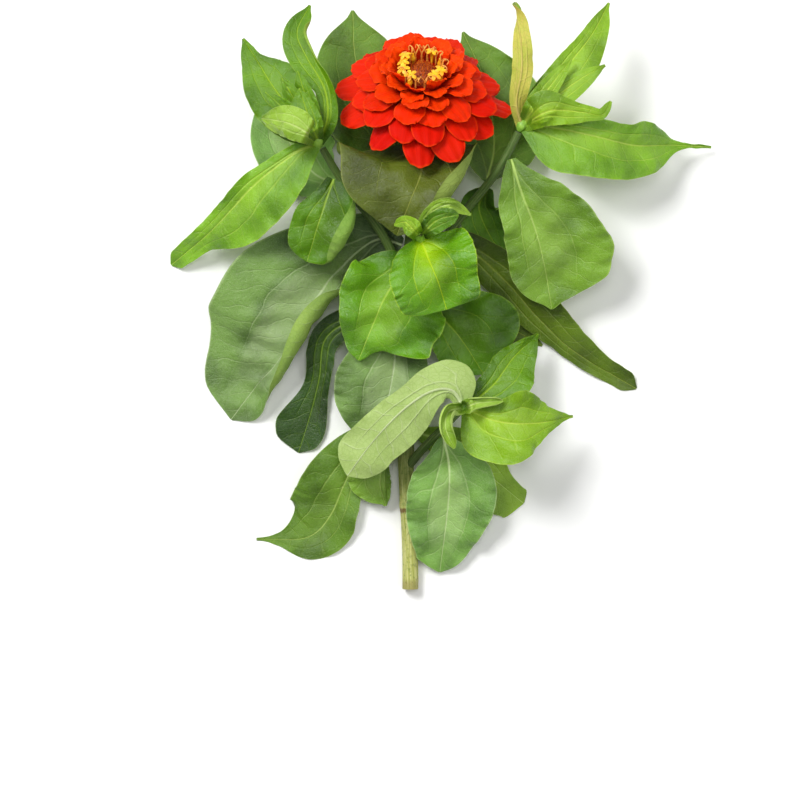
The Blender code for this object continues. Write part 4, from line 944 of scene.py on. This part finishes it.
def leaf_relief(grid, rng, crumple, rolled):
    """The finer form of a leaf: sunk veins, quilted flesh and a fluttering margin, along its normal."""
    u, v = flat_places(grid)
    rows, middle = len(grid), grid.shape[1] // 2
    step = np.linalg.norm(np.diff(grid, axis=1), axis=2)
    across = np.hstack([np.zeros((rows, 1)), np.cumsum(step, axis=1)])
    across -= across[:, middle:middle + 1]
    run = distances(grid[:, middle])[:, None]
    far, half = np.abs(v), np.abs(across[:, [0, -1]]).max(axis=1, keepdims=True)
    thin = 1 - 0.7 * u
    small = np.clip(half.max() / 20, 0.35, 1)
    mid = np.exp(-(across / (1.3 * thin * small)) ** 2)
    place = LATERAL_OUT * np.clip(u / 0.5, 0, 1) ** LATERAL_CURVE
    lateral = np.exp(-((far - place) * half / (1.2 * thin * small)) ** 2) * (1 - 0.8 * u**3) * (half > 5)
    order = (run - VEIN_SLANT * np.abs(across) ** VEIN_CURVE) / VEIN_STEP + VEIN_OFFSET * np.sign(v)
    pillow = np.cos(2 * np.pi * order) * np.clip(far * 3, 0, 1) * np.clip((1 - far) * 4, 0, 1)
    pillow = pillow * np.clip(half / 14, 0, 1)
    edge = np.clip((far - 0.55) / 0.45, 0, 1) ** 2 * (0.3 if rolled else 1)
    calm = 1 - 0.9 * np.clip((far - 0.4) / 0.25, 0, 1) if rolled else 1
    left, right = (stray(rng, rows, (5, 8, 13))[:, None] for _ in (0, 1))
    flutter = np.where(v < 0, left, right) * edge * np.sin(np.pi * u) ** 0.5
    height = -VEIN_DEPTH * small * (mid + 0.8 * lateral) + PUFF * small * pillow
    height = height + FLUTTER * small * flutter
    height = height + crumple * crumpled(across, run, rng) * np.clip(u * 4, 0, 1) * calm
    height = height * np.clip((1 - u) * 10, 0, 1)
    maps = {"leaf": paired(v, u), "mm": paired(across, run) / MAP_SCALE}
    keel = KEEL * small * (mid * thin + 0.35 * lateral * thin) * (1 - u**2)
    return grid + normals(grid) * height[..., None], maps, keel


def make_leaf(name, grid):
    """One leaf: a veined blade whose two faces have their own materials."""
    traits = LEAVES[name]
    rng = np.random.RandomState(sum(map(ord, name)))
    rows, cols = LEAF_SIZE if max(*traits.left, *traits.right) > SMALL_LEAF else SMALL_SIZE
    rolled = traits.curl_left != 0 or traits.curl_right != 0
    grid, maps, keel = leaf_relief(refine(grid, rows, cols), rng, traits.crumple, rolled)
    points, faces, _ = sheet(grid, BLADE_THICK * (1 - 0.5 * np.abs(maps["leaf"][..., 0])**6), keel)
    kinds = np.zeros(len(faces), np.int32)
    kinds[rows * cols:2 * rows * cols] = 1
    shape = (points, faces, {key: both_faces(values) for key, values in maps.items()})
    upper = leaf_material(traits.green, traits.roughness, traits.shade)
    shoot = shoot_of(name)
    node, slot = ("shoot_" + shoot, "young_leaf") if shoot else ("leaf_" + name, "leaf")
    make_piece(name + "_leaf", shape, node, slot, upper, underside_material(traits.green), kinds=kinds)


def petal_blade(number, grid, rng):
    """One petal: spoon-shaped, with shallow lengthwise ribs and two or three notches in its tip."""
    grid = refine(grid, *PETAL_SIZE)
    u, v = flat_places(grid)
    run = unit(np.gradient(grid, axis=0))
    ribs = 0.20 * np.cos(v * np.pi * 3.2 + rng.uniform(-0.5, 0.5)) * np.clip(u * 2, 0, 1)
    cup = 0.5 * v**2 * np.sin(np.pi * u) - 0.9 * np.clip(u - 0.75, 0, 1) ** 2 * 4
    sway = 0.6 * stray(rng, len(grid), (2, 3))[:, None] * v * u
    notch = 0.22 * np.cos(v * np.pi * rng.uniform(1.8, 2.8) + rng.uniform(-1, 1)) * u**10
    grid = grid + normals(grid) * (ribs + cup + sway)[..., None] + run * notch[..., None]
    points, faces, _ = sheet(grid, PETAL_THICK - PETAL_THINNER * u)
    whose = np.tile([number / (len(PETAL_LAYERS) - 1), rng.uniform()], (len(points), 1))
    return points, faces, {"leaf": both_faces(paired(v, u)), "petal": whose}


def make_petals(petals):
    """Each layer of petals is one piece, and so is the core that their crowded bases make."""
    rng = np.random.RandomState(PETAL_SEED + 1)
    layers = [[] for _ in PETAL_LAYERS]
    for number, grid in petals:
        layers[number].append(petal_blade(number, grid, rng))
    for number, blades in enumerate(layers):
        make_piece(f"petals_{number + 1}", joined(blades), "ray_florets", "petal", petal_material())
    points, faces, _ = turned(CORE_PROFILE, CORE_SIDES)
    core = (points, faces, {key: np.zeros((len(points), 2)) for key in ("leaf", "petal")})
    make_piece("petal_core", core, "ray_florets", "petal", petal_material())


def spike(foot, tip, side, half, bow):
    """A thin pointed blade with four sides, bowed sideways, such as a bristle of the disc."""
    middle = (foot + tip) / 2 + bow
    other = np.cross(unit(tip - foot), side)
    return lofted([[place + half * size * w for w in (side, other * 0.4, -side, -other * 0.4)]
                   for place, size in ((foot, 1.0), (middle, 0.85), (tip, 0.15))])


def make_disc():
    """The middle of the bloom: a dome set with bristly scales in spirals."""
    rng = np.random.RandomState(DISC_SEED)
    dome = [DOME_FOOT, *((DOME_HALF * np.cos(t), DISC_FOOT + DOME_RISE * np.sin(t)) for t in DOME_TILTS)]
    make_piece("disc_dome", turned(dome, DOME_SIDES), "disc_centre", "disc", plain_material("disc_dome"))
    bristles = []
    for k in range(BRISTLES):
        share = np.sqrt((k + 0.5) / BRISTLES)
        turn, radius = k * GOLDEN_TURN, BRISTLE_SPREAD * share
        height = DISC_FOOT + DOME_RISE * np.sqrt(max(0.0, 1 - share**2))
        foot = bloom_point(radius, turn, height - BRISTLE_SINK)
        reach = rng.uniform(*BRISTLE_REACH)
        tip = bloom_point(radius * (1.02 + 0.05 * share) - 0.4 * (1 - share),
                          turn + rng.uniform(-BRISTLE_SWAY, BRISTLE_SWAY), height + reach)
        side = unit(np.cross(tip - foot, rng.uniform(-1, 1, 3)))
        half = rng.uniform(*BRISTLE_HALF)
        bristles.append(spike(foot, tip, side, half, rng.uniform(-BRISTLE_BOW, BRISTLE_BOW, 3)))
    make_piece("disc_bristles", joined(bristles), "disc_centre", "disc", plain_material("disc_bristle"))


def star(turn, reach, height, size, lean):
    """A floret of five pointed lobes that curl back, as a closed blade, with its tube."""
    out = bloom_point(1, turn, 0) - BLOOM_SEAT
    over = np.cross(BLOOM_AXIS, out)
    middle = bloom_point(reach, turn, height)
    face = BLOOM_AXIS * np.cos(lean) + out * np.sin(lean)
    aside = np.cross(over, face)
    rings, round_it = STAR_SIZE
    turns = np.linspace(0, 2 * np.pi, round_it)
    lobe = np.abs(np.cos(STAR_LOBES / 2 * turns)) ** 0.75
    reaches = np.linspace(0.12, 1, rings)[:, None] * size * (0.30 + 0.78 * lobe)
    lift = 0.35 * (reaches / size) - 0.75 * (reaches / size) ** 3 * size * 0.45
    grid = middle + reaches[..., None] * (np.cos(turns)[:, None] * over - np.sin(turns)[:, None] * aside)
    foot = bloom_point(COLLAR_RADIUS, turn, COLLAR_FOOT - 1)
    axis = smooth_path([foot, (foot + middle) / 2 + out * 0.2, middle + face * 0.15], STALK_STEPS)
    return sheet(grid + lift[..., None] * face, STAR_THICK), tube(axis, STALK_HALVES, STALK_SIDES)


def make_florets():
    """The yellow star florets with buds between them, and the forked styles of the ray florets."""
    parts = [part for place in star_places() for part in star(*place)]
    for turn in np.radians(STAR_BUDS):
        ends = [bloom_point(COLLAR_RADIUS, turn, height) for height in (COLLAR_FOOT - 1, STAR_HEIGHT - 1)]
        parts.append(tube(smooth_path(ends, BUD_STEPS), BUD_HALVES, BUD_SIDES))
    make_piece("star_florets", joined(parts), "disc_florets", "floret", plain_material("floret"))
    rng = np.random.RandomState(STYLE_SEED)
    arms = []
    for turn in np.radians(STYLE_TURNS):
        tall = rng.uniform(*STYLE_RISE)
        for way in (-1, 1):
            swing, loop = way * rng.uniform(*STYLE_SWING), rng.uniform(*STYLE_SIZE)
            line = [bloom_point(COLLAR_RADIUS, turn, COLLAR_FOOT + height) for height in (0, 4)]
            for k, (out, up) in enumerate(STYLE_LOOP):
                line.append(bloom_point(COLLAR_RADIUS + out * loop, turn + swing * (1 + 0.3 * k),
                                        COLLAR_FOOT + tall + up * loop))
            arms.append(tube(smooth_path(line, STYLE_STEPS), STYLE_HALVES, STYLE_SIDES))
    make_piece("styles", joined(arms), "disc_florets", "floret", plain_material("style"))


def bract(turn, ring):
    """One broad round-tipped bract of the cup."""
    u, v = (np.linspace(low, 1, count) for low, count in zip((0, -1), BRACT_SIZE))
    radii, heights = zip(*CUP_PROFILE)
    at, steps = ring + u * BRACT_LENGTH, np.arange(len(CUP_PROFILE))
    radius = np.interp(at, steps, radii) + BRACT_OFF + BRACT_FLARE * u
    half = BRACT_HALF * np.sqrt(np.clip(1 - (u * 0.98) ** 4, 0, 1))
    rows = [[bloom_point(r - 0.012 * abs(w) * r, turn + w * s, h) for w in v]
            for r, h, s in zip(radius, np.interp(at, steps, heights), half)]
    return sheet(np.array(rows), BRACT_THICK)


def make_involucre():
    """The green cup: its body and its rings of overlapping bracts."""
    bracts = [bract((k + 0.5 * (ring % 2)) * 2 * np.pi / BRACTS, ring)
              for ring in range(BRACT_RINGS) for k in range(BRACTS)]
    for name, shape in (("cup", turned(CUP_PROFILE, CORE_SIDES)), ("bracts", joined(bracts))):
        make_piece(name, shape, "involucre", "stem", plain_material("cup"))


def make_stem(lines):
    """The stem and its branches: round tubes with shallow ribs, swollen where leaves spring."""
    rng = np.random.RandomState(STEM_SEED)
    turns = np.arange(STEM_SIDES) / STEM_SIDES
    for name, (axis, radii) in lines.items():
        count = STEM_FINER * (len(axis) - 1) + 1
        line, wide = resample(axis, count), resample(radii, count)
        run = distances(line)
        if name == "main":
            for place in STEM_JOINTS:
                wide = wide * (1 + JOINT_SWELL * np.exp(-((run - place) / JOINT_LENGTH) ** 2))
        else:
            run = run + BRANCH_START
        rings = stem_tube(line, wide, STEM_SIDES)[:, ::-1]
        ribs = RIB_HEIGHT * np.cos(2 * np.pi * STEM_RIBS * turns)
        ribs = ribs + RIB_UNEVEN * rng.uniform(-1, 1, STEM_SIDES)
        points, faces, _ = lofted(line[:, None] + (rings - line[:, None]) * (1 - 0.02 + ribs)[:, None])
        place = paired(np.abs(turns * 2 - 1), run[:, None] / MAP_SCALE).reshape(-1, 2)
        make_piece("stem_" + name, (points, faces, {"stem": place}), "stem", "stem", stem_material())


def make_buds(lines):
    """The small leafy bud at the heart of each young shoot: a few tight scales."""
    for shoot in SHOOTS:
        up, middle = branch_end(shoot, lines)
        side = unit(np.cross(up, [0.3, 1.0, 0.2]))
        front = np.cross(up, side)
        scales = []
        for k in range(BUD_SCALES):
            turn = k * GOLDEN_TURN
            out = side * np.cos(turn) + front * np.sin(turn)
            over = np.cross(up, out)
            u, v = (np.linspace(low, 1, count) for low, count in zip((0, -1), SCALE_SIZE))
            reach = BUD_RADIUS * (0.25 + 0.75 * np.sin(np.pi * (0.15 + 0.7 * u))) * (1 - 0.06 * k)
            rows = []
            for r, t in zip(reach, u):
                width = SCALE_HALF * np.sin(np.pi * min(t * 0.85 + 0.12, 1)) + 0.08
                place = middle + up * (t * SCALE_LENGTH - 2.4 + 0.2 * k) + out * r * 0.9
                rows.append([place + over * width * w - out * 0.5 * w * w for w in v])
            scales.append(sheet(np.array(rows), SCALE_THICK))
        make_piece("bud_" + shoot, joined(scales), "shoot_" + shoot, "young_leaf", plain_material("bud"))


# ---------------------------------------------------------------- the table, the light and the camera

def make_table():
    mesh = bpy.data.meshes.new("table")
    corners = [(x * TABLE_HALF, y * TABLE_HALF, 0) for x, y in ((-1, -1), (1, -1), (1, 1), (-1, 1))]
    mesh.from_pydata(corners, [], [(0, 1, 2, 3)])
    s = Shader("table", 0.8, 0.1)
    s.end["Base Color"].default_value = linear("#fbfbfa")
    mesh.materials.append(s.material)
    table = put("table", mesh)
    table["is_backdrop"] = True


def make_lights():
    for name, place, size, power in LIGHTS:
        lamp = bpy.data.lights.new(name, "AREA")
        lamp.size, lamp.energy = size, power
        made = put(name, lamp)
        made.location = place
        made.rotation_euler = (-Vector(place)).to_track_quat("-Z", "Y").to_euler()
    world = bpy.context.scene.world or bpy.data.worlds.new("sky")
    bpy.context.scene.world = world
    world.use_nodes = True
    sky = world.node_tree.nodes["Background"].inputs
    sky["Color"].default_value = (1, 1, 1, 1)
    sky["Strength"].default_value = SKY


def make_camera():
    """Straight above, with the bloom at the top of the frame."""
    lens = bpy.data.cameras.new("camera")
    lens.sensor_width = SENSOR
    lens.lens = SENSOR * (CAMERA_HEIGHT - CAMERA_FOCUS) / VIEW_WIDTH
    aim = (np.array(VIEW_CENTRE) - ORIGIN) * MM
    made = put("camera", lens)
    made.location = (aim[0], aim[1], CAMERA_HEIGHT)
    bpy.context.scene.camera = made


def main():
    bpy.context.scene.view_settings.view_transform = "Standard"
    lines, leaves, petals = lay_out()
    for name, grid in leaves.items():
        make_leaf(name, grid)
    make_petals(petals)
    make_disc()
    make_florets()
    make_involucre()
    make_stem(lines)
    make_buds(lines)
    make_table()
    make_lights()
    make_camera()


main()
visual_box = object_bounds()
